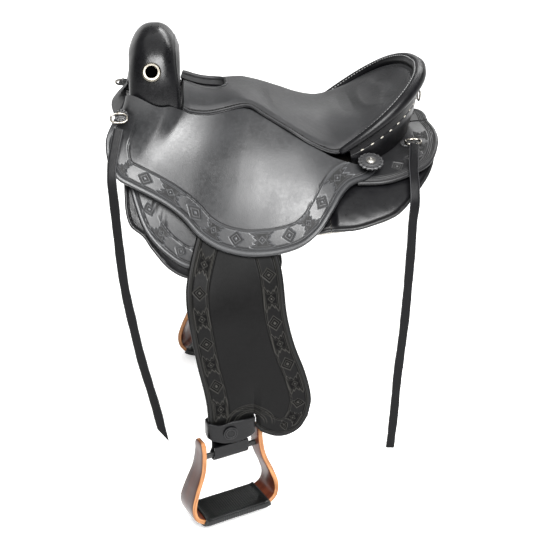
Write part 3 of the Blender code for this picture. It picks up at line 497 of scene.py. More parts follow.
def bent_wood(name):
    """Laminated hardwood: red-brown faces with long grain, pale amber plies on the edges."""
    material, tree, shader, _ = new_material(name)
    flow = tree.nodes.new("ShaderNodeCombineXYZ")
    for socket, key, size in zip(flow.inputs, ("run", "wide", "deep"), (3.0, 90.0, 90.0)):
        tree.links.new(math_node(tree, "MULTIPLY", mark(tree, key), size), socket)
    grain = noise(tree, flow.outputs[0], 1.0, 5.0, 0.6)
    streak = noise(tree, flow.outputs[0], 3.0, 3.0, 0.5)
    figure = span(tree, grain, 0.32, 0.68, 0, 1)
    face = mix_colour(tree, figure, (0.020, 0.004, 0.002), (0.065, 0.015, 0.006))
    outside = mix_colour(tree, figure, (0.014, 0.004, 0.002), (0.040, 0.011, 0.006))
    face = mix_colour(tree, mark(tree, "outside"), face, outside)
    edge = mix_colour(tree, span(tree, streak, 0.30, 0.70, 0, 1), (0.17, 0.065, 0.022), (0.36, 0.17, 0.065))
    ply = math_node(tree, "SINE", math_node(tree, "MULTIPLY", mark(tree, "deep"), 2 * math.pi * 640.0))
    edge = mix_colour(tree, span(tree, ply, 0.72, 0.98, 0, 0.75), edge, (0.08, 0.024, 0.008))
    tree.links.new(mix_colour(tree, mark(tree, "edge"), face, edge), shader.inputs["Base Color"])
    tree.links.new(span(tree, grain, 0.3, 0.7, 0.26, 0.42), shader.inputs["Roughness"])
    shader.inputs["Specular IOR Level"].default_value = 0.20
    shader.inputs["Coat Weight"].default_value = 0.06
    shader.inputs["Coat Roughness"].default_value = 0.15
    bump(tree, shader, grain, 0.15, 0.0004)
    return material


# the lighter edge colour of each leather stands for rubbed edges and painted highlight
BLACK = leather(
    "black_leather", (0.003, 0.003, 0.0035), 0.34, specular=0.16, grain=0.30, wear_and_highlight=(0.018, 0.018, 0.019))
POMMEL_LEATHER = leather(
    "pommel_leather", (0.003, 0.003, 0.0035), 0.28, specular=0.22, grain=0.20, wear_and_highlight=(0.015, 0.015, 0.015))
# jockey, fender and rear jockey leathers: the stamped colour, darker than the leather, is painted shade in
# the tooled hollows; the line colour is painted highlight on the tooled edges; the lighter edge colour is
# rubbed edges and painted highlight
JOCKEY_LEATHER = leather(
    "jockey_leather", (0.010, 0.0103, 0.0112), 0.37, specular=0.40, grain=0.20,
    stamped=(0.001, 0.001, 0.001), wear_and_highlight=(0.024, 0.025, 0.027), line=(0.060, 0.062, 0.066))
FENDER_LEATHER = leather(
    "fender_leather", (0.0025, 0.0025, 0.0025), 0.44, specular=0.08, grain=0.30,
    stamped=(0.001, 0.001, 0.001), wear_and_highlight=(0.016, 0.016, 0.016), line=(0.030, 0.029, 0.026))
REAR_LEATHER = leather(
    "rear_jockey_leather", (0.007, 0.007, 0.0075), 0.40, specular=0.30, grain=0.30,
    stamped=(0.001, 0.001, 0.001), wear_and_highlight=(0.022, 0.022, 0.023), line=(0.050, 0.050, 0.050))
SKIRT_LEATHER = leather(
    "skirt_leather", (0.003, 0.003, 0.0035), 0.30, specular=0.20, grain=0.50, wear_and_highlight=(0.024, 0.024, 0.024))
# the seat's base colour, lighter than the other black leathers, is painted sheen
SEAT_LEATHER = leather(
    "seat_leather", (0.016, 0.0162, 0.017), 0.48, specular=0.19, grain=0.22, wear_and_highlight=(0.030, 0.030, 0.031))
TREAD_LEATHER = leather(
    "tread_leather", (0.003, 0.0035, 0.0035), 0.32, specular=0.20, grain=0.6, wear_and_highlight=(0.02, 0.02, 0.02))
STRING_LEATHER = leather("string_leather", (0.0025, 0.0025, 0.003), 0.44, specular=0.09, grain=0.45)
NICKEL = metal("nickel", (0.22, 0.205, 0.18), 0.22)
STEEL = metal("steel", (0.11, 0.11, 0.115), 0.36)
CONCHO_NICKEL = metal("concho_nickel", (0.30, 0.29, 0.27), 0.44)
# rosette leather: the black stamped colour is painted shade in the punched holes; the lighter edge colour on
# the rim is wear and painted highlight
ROSETTE_LEATHER = leather(
    "rosette_leather", (0.020, 0.020, 0.021), 0.44, specular=0.50, grain=0.35,
    stamped=(0.0, 0.0, 0.0), wear_and_highlight=(0.050, 0.050, 0.051))
# near-black and without reflection: painted shade for the grommets' bores
BORE_SHADE = leather("bore_painted_shade", (0.0004, 0.0004, 0.0004), 0.80, specular=0.0, grain=0.10)
# a darker copy of the nickel for the grommets, whose faces catch the lights: painted shade
SHADED_GROMMET_NICKEL = metal("grommet_nickel_shaded", (0.095, 0.088, 0.074), 0.26)
WHITE_THREAD = thread("light_thread", (0.42, 0.40, 0.35))
GREY_THREAD = thread("grey_thread", (0.26, 0.26, 0.26))
BLACK_THREAD = thread("black_thread", (0.003, 0.003, 0.003))
DARK_STEEL = metal("dark_steel", (0.05, 0.05, 0.05), 0.40)
FLEECE = wool("fleece", (0.27, 0.245, 0.20))
SHADED_RAWHIDE = rawhide("rawhide")
WOOD = bent_wood("bent_wood")

# ---------------------------------------------------------------- saddle strings (the cords)

FRONT_STRING = (
    (-0.2615, -0.1170, 0.0868), (-0.2680, -0.1350, 0.0610), (-0.2735, -0.1515, 0.0360),
    (-0.2745, -0.1640, 0.0130), (-0.2725, -0.1705, -0.0200), (-0.2690, -0.1745, -0.0870),
    (-0.2630, -0.1780, -0.1720), (-0.2520, -0.1800, -0.2470), (-0.2400, -0.1800, -0.3190),
    (-0.2190, -0.1800, -0.4160), (-0.2065, -0.1800, -0.4880),
)
REAR_STRING = (
    (0.2375, -0.1180, 0.0480), (0.2320, -0.1450, 0.0390), (0.2265, -0.1750, 0.0245),
    (0.2240, -0.2020, 0.0070), (0.2225, -0.2190, -0.0180), (0.2200, -0.2205, -0.0550),
    (0.2195, -0.2210, -0.1060), (0.2150, -0.2210, -0.2420), (0.2080, -0.2210, -0.3450),
    (0.2050, -0.2210, -0.4240), (0.2010, -0.2210, -0.4950),
)
STRING_WIDTH, STRING_THICK = 0.016, 0.003


def string(name, route, tip_cut, body, node):
    """A flat leather string with rounded edges, a scored line near each edge and a cut tip."""
    t = np.linspace(0, 1, 260)
    middle = along(route, t)
    total = length_of(np.diff(middle, axis=0)).sum()
    run = unit(np.gradient(middle, axis=0))
    wide = unit(np.array([1.0, 0, 0]) - run * run[:, :1])
    out = np.cross(wide, run)
    out *= np.sign(-out[:, 1:2] + 1e-9)
    v = np.linspace(-1, 1, 25)
    half = STRING_WIDTH / 2 * (1 + 0.03 * np.sin(t * 37) + 0.02 * np.sin(t * 91))
    cut_off = np.clip((1 - t) * total / 0.030, 0, 1)
    low = -np.ones_like(t)
    low = np.maximum(low, 1 - 2 * cut_off - 0.1) if tip_cut > 0 else low
    across = low[:, None] + (1 - low)[:, None] * (v + 1) / 2
    profile = 1 - abs(v) ** 6 * 0.75 - 0.22 * ridge(v, 0.74, 0.09) - 0.22 * ridge(v, -0.74, 0.09)
    spot = middle[:, None] + wide[:, None] * (half[:, None] * across)[..., None]
    lift = STRING_THICK / 2 * profile[None, :, None] * out[:, None]
    # the rounded edges painted lighter: wear and painted highlight
    edges = ridge(v, 0.93, 0.06)[None] * 0.5 + ridge(v, -0.93, 0.06)[None] * 0.5
    marks = {"wear_and_highlight": np.repeat(edges, len(t), 0)}
    piece = shell(name, spot + lift, spot - lift, marks, sharp=60)
    finish_piece(piece, body, STRING_LEATHER, [node])


string("front_string_look", FRONT_STRING, 1, "front_dee_left", "front_string_left")
string("rear_string_look", REAR_STRING, 0, "rear_dee_left", "rear_string_left")

# ---------------------------------------------------------------- tooling

TOOL_DEPTH, LINE_DEPTH, LINE_HALF, EDGE_DROP = 0.0014, 0.0008, 0.0013, 0.0014
DIAMOND = (0.0125, 0.0122)
STEPPED = ((0.0085, 0.0), (0.0155, 0.0046), (0.0110, 0.0054), (0.0215, 0.0104), (0.0150, 0.0120))


def diamond_depth(u, v, half_u, half_v):
    """How far inside a diamond, in metres; negative outside."""
    return (1 - abs(u) / half_u - abs(v) / half_v) * half_u * half_v / math.hypot(half_u, half_v)


def stepped_depth(u, v, size=1.0):
    """How far inside the stepped motif, in metres; negative outside."""
    line = np.array(STEPPED) * size
    spot = np.stack([abs(u), abs(v)], -1)
    far, _ = edge_field(spot, line)
    reach = np.interp(spot[..., 1], line[:, 1], line[:, 0])
    inside = (spot[..., 0] < reach) & (spot[..., 1] < line[-1, 1])
    far = np.minimum(far, abs(line[-1, 1] - spot[..., 1]) + np.maximum(spot[..., 0] - line[-1, 0], 0))
    return np.where(inside, far, -far)


def press(depth):
    """A stamped shape: how deep it is pressed (0 to 1) and its outline, which is painted lighter as a
    highlight.
    """
    return ramp(depth, -0.0004, 0.0007), ridge(depth, -0.0002, 0.0010)


def tool_band(far, place, diamonds, steps, middle, size):
    """Diamonds and stepped motifs along a border. Returns the height, stamp and line marks; the line mark is
    painted highlight.
    """
    lift, stamp, line = np.zeros_like(far), np.zeros_like(far), np.zeros_like(far)
    near = abs(far - middle) < 0.0150 * size
    for kind, places in (("diamond", diamonds), ("stepped", steps)):
        for at in places:
            here = near & (abs(place - at) < 0.024 * size)
            if not here.any():
                continue
            u, v = place[here] - at, far[here] - middle
            if kind == "diamond":
                depth = diamond_depth(u, v, DIAMOND[0] * size * 1.05, DIAMOND[1] * size)
                ring = ridge(depth, 0.0036 * size, 0.0009)
                heart = ramp(depth, 0.0064 * size, 0.0070 * size)
            else:
                depth = stepped_depth(u, v, size)
                inner = diamond_depth(u, v, 0.0056 * size, 0.0056 * size)
                ring = ridge(inner, 0.0, 0.0009) + 0.6 * ridge(depth, 0.0024, 0.0006)
                heart = ramp(inner, 0.0022 * size, 0.0028 * size)
            sunk, outline = press(depth)
            keep = np.clip(sunk - 0.55 * ring - heart, 0, 1)
            lift[here] -= TOOL_DEPTH * keep
            # the sunk ground is marked stamp: rougher, and darker as painted shade; outlines, rings and
            # raised centres are marked line: painted highlight
            stamp[here] = np.maximum(stamp[here], keep)
            line[here] = np.maximum(line[here], np.clip(outline + 0.8 * ring * sunk + heart, 0, 1))
    return lift, stamp, line


def bordered(far, place, diamonds, steps, edge=0.0075, lines=(0.0090, 0.0118, 0.0365, 0.0390),
             middle=0.0240, size=1.0):
    """The whole border: raised edge, scored lines, motifs. Height and marks."""
    lift, stamp, line = tool_band(far, place, diamonds, steps, middle, size)
    lift += 0.0011 * ramp(far, 0.0, 0.002) * (1 - ramp(far, edge - 0.002, edge + 0.0006))
    lift -= EDGE_DROP * (1 - rolled(far, 0.0022))
    for at in lines:
        cut = ridge(far, at, LINE_HALF)
        lift -= LINE_DEPTH * cut
        # the scored grooves are marked stamp: rougher, and darker as painted shade
        stamp = np.maximum(stamp, cut)
        # a painted highlight beside each scored line, on its side toward the edge
        line = np.maximum(line, 0.6 * ridge(far, at - 0.0018, 0.0008))
    # the raised edge painted lighter: wear and painted highlight
    wear_and_highlight = 0.45 * ridge(far, 0.0042, 0.0026)
    return lift, {"stamp": stamp, "line": line * 0.8, "wear_and_highlight": wear_and_highlight}


# ---------------------------------------------------------------- seat jockeys

JOCKEY_UPPER = (
    (-0.2475, 0.031, 0.040), (-0.2475, 0.047, 0.066), (-0.2465, 0.056, 0.082), (-0.240, 0.0590, 0.0915),
    (-0.228, 0.0615, 0.0912), (-0.200, 0.0685, 0.0840), (-0.188, 0.0690, 0.0835), (-0.174, 0.0665, 0.0850),
    (-0.152, 0.061, 0.072), (-0.113, 0.060, 0.072), (-0.084, 0.055, 0.079),
    (-0.054, 0.056, 0.090), (-0.039, 0.061, 0.093), (-0.016, 0.077, 0.091), (0.025, 0.103, 0.083),
    (0.058, 0.122, 0.072), (0.092, 0.139, 0.058), (0.125, 0.145, 0.046), (0.150, 0.148, 0.038),
    (0.164, 0.149, 0.036),
)
JOCKEY_LOWER = (
    (-0.2505, 0.033, 0.037), (-0.257, 0.050, 0.037), (-0.271, 0.080, 0.037), (-0.283, 0.111, 0.037),
    (-0.284, 0.133, 0.037), (-0.279, 0.158, 0.037), (-0.266, 0.178, 0.037), (-0.245, 0.188, 0.037),
    (-0.211, 0.201, 0.037), (-0.184, 0.213, 0.037), (-0.161, 0.228, 0.037), (-0.137, 0.251, 0.037),
    (-0.106, 0.268, 0.037), (-0.067, 0.277, 0.037), (-0.037, 0.2785, 0.037), (-0.003, 0.277, 0.037),
    (0.034, 0.271, 0.037), (0.063, 0.254, 0.037), (0.086, 0.226, 0.037), (0.104, 0.200, 0.037),
    (0.122, 0.182, 0.037), (0.151, 0.169, 0.036), (0.166, 0.155, 0.036),
)
JOCKEY_DIAMONDS = (0.1975, 0.2800, 0.3700, 0.4640, 0.5565)
JOCKEY_STEPS = (0.1500, 0.2395, 0.3240, 0.4170, 0.5110, 0.6010)
JOCKEY_THICK, JOCKEY_BAND = 0.0040, 0.046
JOCKEY_FALL, JOCKEY_FALL_END = (5.0, 1.5), 0.50


def banded_shares(width, band, fine, coarse):
    """Shares from the lower edge up: fine steps over the border band, coarse ones past it."""
    share = np.minimum(band / width, fine / (fine + coarse))
    low = share[:, None] * np.linspace(0, 1, fine + 1)[None]
    high = share[:, None] + (1 - share)[:, None] * np.linspace(0, 1, coarse + 1)[None, 1:]
    return np.concatenate([low, high], 1).T


def build_jockey():
    """The big side leather under the seat, with its tooled border."""
    t = np.linspace(0, 1, 560)
    upper, lower = along(JOCKEY_UPPER, t), along(JOCKEY_LOWER, t)
    width = length_of(upper[:, :2] - lower[:, :2])
    tangent = unit(np.gradient(lower[:, :2], axis=0))
    way = unit(upper[:, :2] - lower[:, :2])
    lean = abs(tangent[:, 0] * way[:, 1] - tangent[:, 1] * way[:, 0])
    share = banded_shares(width, JOCKEY_BAND / np.clip(lean, 0.35, 1), 56, 18)
    spot = lower[None] + (upper - lower)[None] * share[..., None]
    front, rear = JOCKEY_FALL
    fall = rear + (front - rear) * np.maximum(0, 1 - t / JOCKEY_FALL_END) ** 2
    lift = lower[None, :, 2] + (upper - lower)[None, :, 2] * share ** fall
    edge = along(JOCKEY_LOWER, np.linspace(0, 1, 320))[:, :2]
    far, place = edge_field(spot[..., :2], edge)
    rise, marks = bordered(far, place, JOCKEY_DIAMONDS, JOCKEY_STEPS)
    fade = ramp(place, 0.060, 0.110)
    rise = rise * (0.35 + 0.65 * fade)
    # the tooling's painted shade (stamp) and painted highlight (line) fade out toward the front with it
    marks["stamp"] = marks["stamp"] * fade
    marks["line"] = marks["line"] * fade * 0.7
    ground = back(spot[..., 0], spot[..., 1], lift)
    rise = rise + 0.0007 * lumps(ground, 0.085, 5) * ramp(far, 0.040, 0.060)
    outer = ground + back_normal(spot[..., 0], spot[..., 1]) * rise[..., None]
    inner = back(spot[..., 0], spot[..., 1], lift - JOCKEY_THICK)
    piece = shell("seat_jockey_left_look", outer, inner, marks)
    pair(piece, "seat_jockey", "saddle", JOCKEY_LEATHER, "seat_jockey")


build_jockey()

# ---------------------------------------------------------------- skirts

FRONT_SKIRT_UPPER = ((-0.252, 0.030), (-0.10, 0.012), (0.0815, 0.005))
FRONT_SKIRT_LOWER = (
    (-0.2545, 0.075), (-0.2555, 0.215), (-0.248, 0.248), (-0.227, 0.264), (-0.213, 0.283),
    (-0.184, 0.311), (-0.150, 0.319), (-0.095, 0.300), (-0.035, 0.268), (0.030, 0.252), (0.0815, 0.251),
)
REAR_SKIRT_UPPER = ((0.0825, 0.005), (0.18, 0.005), (0.270, 0.005))
REAR_SKIRT_LOWER = (
    (0.0825, 0.252), (0.121, 0.256), (0.159, 0.249), (0.195, 0.235), (0.231, 0.195), (0.261, 0.148),
    (0.277, 0.095), (0.280, 0.014),
)
TOP_SKIRT_UPPER = ((-0.245, 0.050), (-0.12, 0.045), (-0.015, 0.060))
TOP_SKIRT_LOWER = (
    (-0.2475, 0.085), (-0.246, 0.180), (-0.234, 0.230), (-0.220, 0.260), (-0.194, 0.286),
    (-0.156, 0.303), (-0.100, 0.292), (-0.050, 0.262), (-0.018, 0.245),
)
FLEECE_UPPER = ((-0.247, 0.036), (-0.10, 0.018), (0.10, 0.009), (0.262, 0.010))
FLEECE_LOWER = (
    (-0.249, 0.085), (-0.249, 0.212), (-0.236, 0.248), (-0.200, 0.288), (-0.150, 0.306),
    (-0.090, 0.288), (0.00, 0.250), (0.120, 0.249), (0.190, 0.231), (0.252, 0.150), (0.271, 0.080),
    (0.273, 0.020),
)
REAR_JOCKEY_UPPER = ((0.126, 0.118), (0.170, 0.108), (0.208, 0.080), (0.232, 0.040), (0.238, 0.003))
REAR_JOCKEY_LOWER = (
    (0.132, 0.178), (0.177, 0.181), (0.217, 0.171), (0.258, 0.147), (0.282, 0.096), (0.288, 0.051),
    (0.284, 0.003),
)


def flat_panel(upper, lower, columns, fine, coarse, band):
    """Places (x, s) of a panel between two edges, and how far each is from the lower edge."""
    t = np.linspace(0, 1, columns)
    high, low = along(upper, t), along(lower, t)
    share = banded_shares(length_of(high - low), band, fine, coarse)
    spot = low[None] + (high - low)[None] * share[..., None]
    far, place = edge_field(spot, along(lower, np.linspace(0, 1, 240)))
    return spot, far, place


def build_skirt(stem, upper, lower, base, thick, crown, columns, dip=None):
    """A black padded skirt with a piped welt round its lower edge."""
    spot, far, _ = flat_panel(upper, lower, columns, 26, 22, 0.030)
    x, s = spot[..., 0], spot[..., 1]
    pad = crown * rolled(np.maximum(far - 0.0055, 0), 0.035)
    if dip is not None:
        pad = pad * ramp(abs(x - dip), 0.0005, 0.012)
    bead = 0.0026 * np.sqrt(np.clip(1 - ((far - 0.0026) / 0.0026) ** 2, 0, 1))
    valley = -0.0012 * ridge(far, 0.0060, 0.0016)
    rise = np.where(far < 0.0052, bead - 0.0008, 0) + valley + pad
    rise = rise + 0.0004 * lumps(back(x, s), 0.02, 8) * ramp(far, 0.006, 0.02)
    # the bead painted lighter: wear and painted highlight; the valley behind it marked stamp: rougher and
    # slightly lighter
    marks = {"wear_and_highlight": 0.55 * ridge(far, 0.0028, 0.0016), "stamp": 0.6 * ridge(far, 0.0060, 0.0014)}
    outer = back(x, s, base + rise)
    inner = back(x, s, base - thick + 0.0015 * (1 - rolled(far, 0.003)))
    piece = shell(f"{stem}_left_look", outer, inner, marks)
    for made in pair(piece, stem, "saddle", SKIRT_LEATHER, stem):
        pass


build_skirt("front_skirt", FRONT_SKIRT_UPPER, FRONT_SKIRT_LOWER, 0.0165, 0.0040, 0.0008, 300)
build_skirt("rear_skirt", REAR_SKIRT_UPPER, REAR_SKIRT_LOWER, 0.0165, 0.0040, 0.0060, 260, dip=0.0825)


def build_tooled_panel(stem, upper, lower, grid, lift, thick, material, motifs, border, highlight_share=1.0):
    """A flat tooled panel: grid is (columns, fine rows, coarse rows, band), motifs the diamonds and steps."""
    spot, far, place = flat_panel(upper, lower, *grid)
    x, s = spot[..., 0], spot[..., 1]
    rise, marks = bordered(far, place, *motifs, size=0.95, **border)
    # this share scales the line mark: the painted highlights of the tooling
    marks["line"] = marks["line"] * highlight_share
    piece = shell(f"{stem}_left_look", back(x, s, lift + rise), back(x, s, lift - thick), marks)
    pair(piece, stem, "saddle", material, stem)


build_tooled_panel(
    "rigging_skirt", TOP_SKIRT_UPPER, TOP_SKIRT_LOWER, (330, 34, 20, 0.042), 0.0212, 0.0034, JOCKEY_LEATHER,
    ((0.1404, 0.2396, 0.3300), (0.1905, 0.2870)),
    {"edge": 0.0070, "lines": (0.0085, 0.0110, 0.0330, 0.0355), "middle": 0.0220}, highlight_share=0.7,
)
build_tooled_panel(
    "rear_jockey", REAR_JOCKEY_UPPER, REAR_JOCKEY_LOWER, (260, 44, 14, 0.048), 0.0310, 0.0035, REAR_LEATHER,
    ((0.0830,), (0.1300, 0.1760, 0.2230)),
    {"edge": 0.0060, "lines": (0.0070, 0.0095, 0.0125, 0.0155), "middle": 0.0300},
)


def build_fleece():
    """The woolly lining, lumpy on the side next to the horse."""
    spot, far, _ = flat_panel(FLEECE_UPPER, FLEECE_LOWER, 260, 20, 60, 0.020)
    x, s = spot[..., 0], spot[..., 1]
    fluff = 0.0010 * lumps(back(x, s), 0.008, 3) + 0.0006 * lumps(back(x, s), 0.004, 4)
    shoulder = 0.0035 * (1 - rolled(far, 0.006))
    outer = back(x, s, 0.0100)
    inner = back(x, s, 0.0008 + shoulder + fluff)
    piece = shell("fleece_left_look", outer, inner)
    for made in pair(piece, "fleece", "saddle", FLEECE, "fleece"):
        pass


build_fleece()

# ---------------------------------------------------------------- seat

SEAT_EDGE = (
    (-0.1520, 0.088, 0.1165), (-0.140, 0.0875, 0.110), (-0.113, 0.085, 0.106), (-0.084, 0.080, 0.109),
    (-0.054, 0.080, 0.115), (-0.039, 0.085, 0.114), (-0.016, 0.100, 0.103), (0.025, 0.125, 0.084),
    (0.058, 0.140, 0.067), (0.090, 0.147, 0.056), (0.112, 0.143, 0.058), (0.151, 0.136, 0.079),
    (0.187, 0.122, 0.102), (0.219, 0.093, 0.123), (0.240, 0.052, 0.138), (0.248, 0.012, 0.143),
)
SEAT_CENTRE = (
    (-0.1520, 0.0, 0.145), (-0.120, 0.0, 0.134), (-0.070, 0.0, 0.128), (-0.037, 0.0, 0.123),
    (-0.018, 0.0, 0.116), (0.000, 0.0, 0.106), (0.037, 0.0, 0.094), (0.075, 0.0, 0.087),
    (0.105, 0.0, 0.086), (0.140, 0.0, 0.090), (0.180, 0.0, 0.101), (0.215, 0.0, 0.118),
    (0.238, 0.0, 0.135), (0.2485, 0.0, 0.1435),
)
HOLE_REAR, HOLE_HALF, HOLE_CORNER = -0.078, 0.033, 0.024
SEAT_LIFT_CAP, SEAT_OVERHANG = 0.0022, 0.055
CANTLE_RIM = (
    (0.104, 0.152, 0.047), (0.150, 0.149, 0.078), (0.190, 0.136, 0.106), (0.226, 0.106, 0.132),
    (0.251, 0.060, 0.148), (0.262, 0.000, 0.153),
)
ROLL_RADIUS, ROLL_EAR_RADIUS = 0.0115, 0.0060


def cantle_rim(t):
    """The rim's centre line, t from -1 at the near ear to 1 at the far ear."""
    point = along(CANTLE_RIM, 1 - abs(t))
    point[..., 1] *= np.where(t < 0, -1, 1)
    return point


def roll_radius(t):
    return ROLL_EAR_RADIUS + (ROLL_RADIUS - ROLL_EAR_RADIUS) * (1 - abs(t) ** 2)


def seat_points(t, v):
    """The seat's top at shares t along and v (-1 to 1) across."""
    edge, centre = along(SEAT_EDGE, t), along(SEAT_CENTRE, t)
    part = abs(v) ** 2.2
    x = centre[..., 0] + (edge[..., 0] - centre[..., 0]) * part
    z = centre[..., 2] + (edge[..., 2] - centre[..., 2]) * part
    return np.stack([x, edge[..., 1] * v, z], -1)


def hole_outline(grow, count):
    """The hand hole's outline in plan, from its near front corner round the back."""
    half, corner, rear = HOLE_HALF + grow, HOLE_CORNER, HOLE_REAR + grow
    angle = np.linspace(-math.pi / 2, 0, count)
    x = np.concatenate([[-0.150], rear - corner + corner * np.cos(angle)])
    y = np.concatenate([[-half], -half + corner + corner * np.sin(angle)])
    return np.stack([np.concatenate([x, x[::-1]]), np.concatenate([y, -y[::-1]])], 1)


def swell(points, quads, hold, cap):
    """Blow a held sheet up a little with the cloth solver, as padding under leather does."""
    sheet = mesh_object("seat_swell", points, quads)
    group = sheet.vertex_groups.new(name="hold")
    for index in np.flatnonzero(hold > 0.001):
        group.add([int(index)], float(hold[index]), "REPLACE")
    cloth = sheet.modifiers.new("swell", "CLOTH")
    cloth.settings.quality = 4
    cloth.settings.mass = 0.3
    cloth.settings.tension_stiffness = 40
    cloth.settings.compression_stiffness = 40
    cloth.settings.bending_stiffness = 8
    cloth.settings.use_pressure = True
    cloth.settings.uniform_pressure_force = 4.0
    cloth.settings.vertex_group_mass = "hold"
    cloth.settings.effector_weights.gravity = 0.0
    cloth.collision_settings.use_collision = False
    for frame_number in range(1, 16):
        scene.frame_set(frame_number)
    ready = sheet.evaluated_get(bpy.context.evaluated_depsgraph_get()).to_mesh()
    after = np.empty(len(ready.vertices) * 3)
    ready.vertices.foreach_get("co", after)
    move = after.reshape(-1, 3) - points
    size = length_of(move)
    move *= np.where(size > cap, cap / np.maximum(size, 1e-9), 1)[:, None]
    bpy.data.objects.remove(sheet)
    scene.frame_set(1)
    return points + move


def finer(grid, rows, columns):
    """A grid of numbers resampled smoothly to more rows and columns."""
    tall = smooth(np.arange(grid.shape[0]), grid, np.linspace(0, grid.shape[0] - 1, rows))
    return smooth(np.arange(grid.shape[1]), tall.T, np.linspace(0, grid.shape[1] - 1, columns)).T


def masked_shell(name, outer, inner, keep, marks):
    """A closed solid between two grids, without the cells that aren't kept."""
    rows, columns = outer.shape[:2]
    count = rows * columns
    top = grid_quads(rows, columns)[keep.ravel()]
    edges = np.concatenate([top[:, [k, (k + 1) % 4]] for k in range(4)])
    key = np.sort(edges, 1) @ np.array([count, 1])
    _, first, times = np.unique(key, return_index=True, return_counts=True)
    rim = edges[first[times == 1]]
    walls = np.stack([rim[:, 1], rim[:, 0], rim[:, 0] + count, rim[:, 1] + count], 1)
    quads = np.concatenate([top, top[:, ::-1] + count, walls])
    used, quads = np.unique(quads, return_inverse=True)
    points = np.concatenate([outer.reshape(-1, 3), inner.reshape(-1, 3)])[used]
    full = {k: np.concatenate([v.ravel(), np.zeros(count)])[used] for k, v in marks.items()}
    return mesh_object(name, points, quads.reshape(-1, 4), full)


def stitch_row(name, line, out, pitch, size):
    """A row of separate stitches along a line, each a small rounded bar of size (long, wide, high)."""
    line, out = np.asarray(line, float), np.asarray(out, float)
    reach = reach_of(line)
    places = np.arange(pitch / 2, reach[-1], pitch)
    spot = spot_at(places, reach, line)
    ahead = spot_at(places + 0.001, reach, line)
    behind = spot_at(places - 0.001, reach, line)
    run = unit(ahead - behind)
    up = spot_at(places, reach, out)
    side = unit(np.cross(run, up))
    up = np.cross(side, run)
    u = np.array([-1, -0.8, -0.3, 0.3, 0.8, 1])
    girth = np.array([0.25, 0.75, 1, 1, 0.75, 0.25])
    stations, sides = len(u), 7
    angle = np.linspace(0, 2 * math.pi, sides, endpoint=False)
    rings = []
    for k in range(stations):
        for a in angle:
            rings.append(
                run * (u[k] * size[0] / 2)
                + side * (girth[k] * math.cos(a) * size[1] / 2)
                + up * (girth[k] * math.sin(a) * size[2])
            )
    each = np.stack(rings, 1) + spot[:, None]
    body_quads = grid_quads(stations, sides, wrap_columns=True)
    j = np.arange(3)
    cap = np.stack([j, j + 1, sides - 1 - j - 1, sides - 1 - j], 1)
    one = np.concatenate([body_quads, cap[:, ::-1], cap + (stations - 1) * sides])
    quads = np.concatenate([one + stations * sides * n for n in range(len(places))])
    piece = mesh_object(name, each.reshape(-1, 3), quads, sharp=80)
    clean(piece)
    return piece


def meet_roll(grid, share_t):
    """Draw the seat's rear edge out to the cantle roll."""
    t = np.linspace(-1, 1, 241)
    line = cantle_rim(t)
    reach = reach_of(line)
    far, place = edge_field(grid, line)
    target = spot_at(place, reach, line)
    short = far - np.interp(place, reach, roll_radius(t)) + 0.0015
    rim = np.concatenate([grid[:, 0], grid[-1], grid[::-1, -1]])
    inside, _ = edge_field(grid, rim[::2])
    part = (1 - ramp(inside, 0.0, 0.022)) * ramp(share_t, 0.60, 0.70)
    return grid + unit(target - grid) * (np.clip(short, 0, 0.012) * part)[..., None]


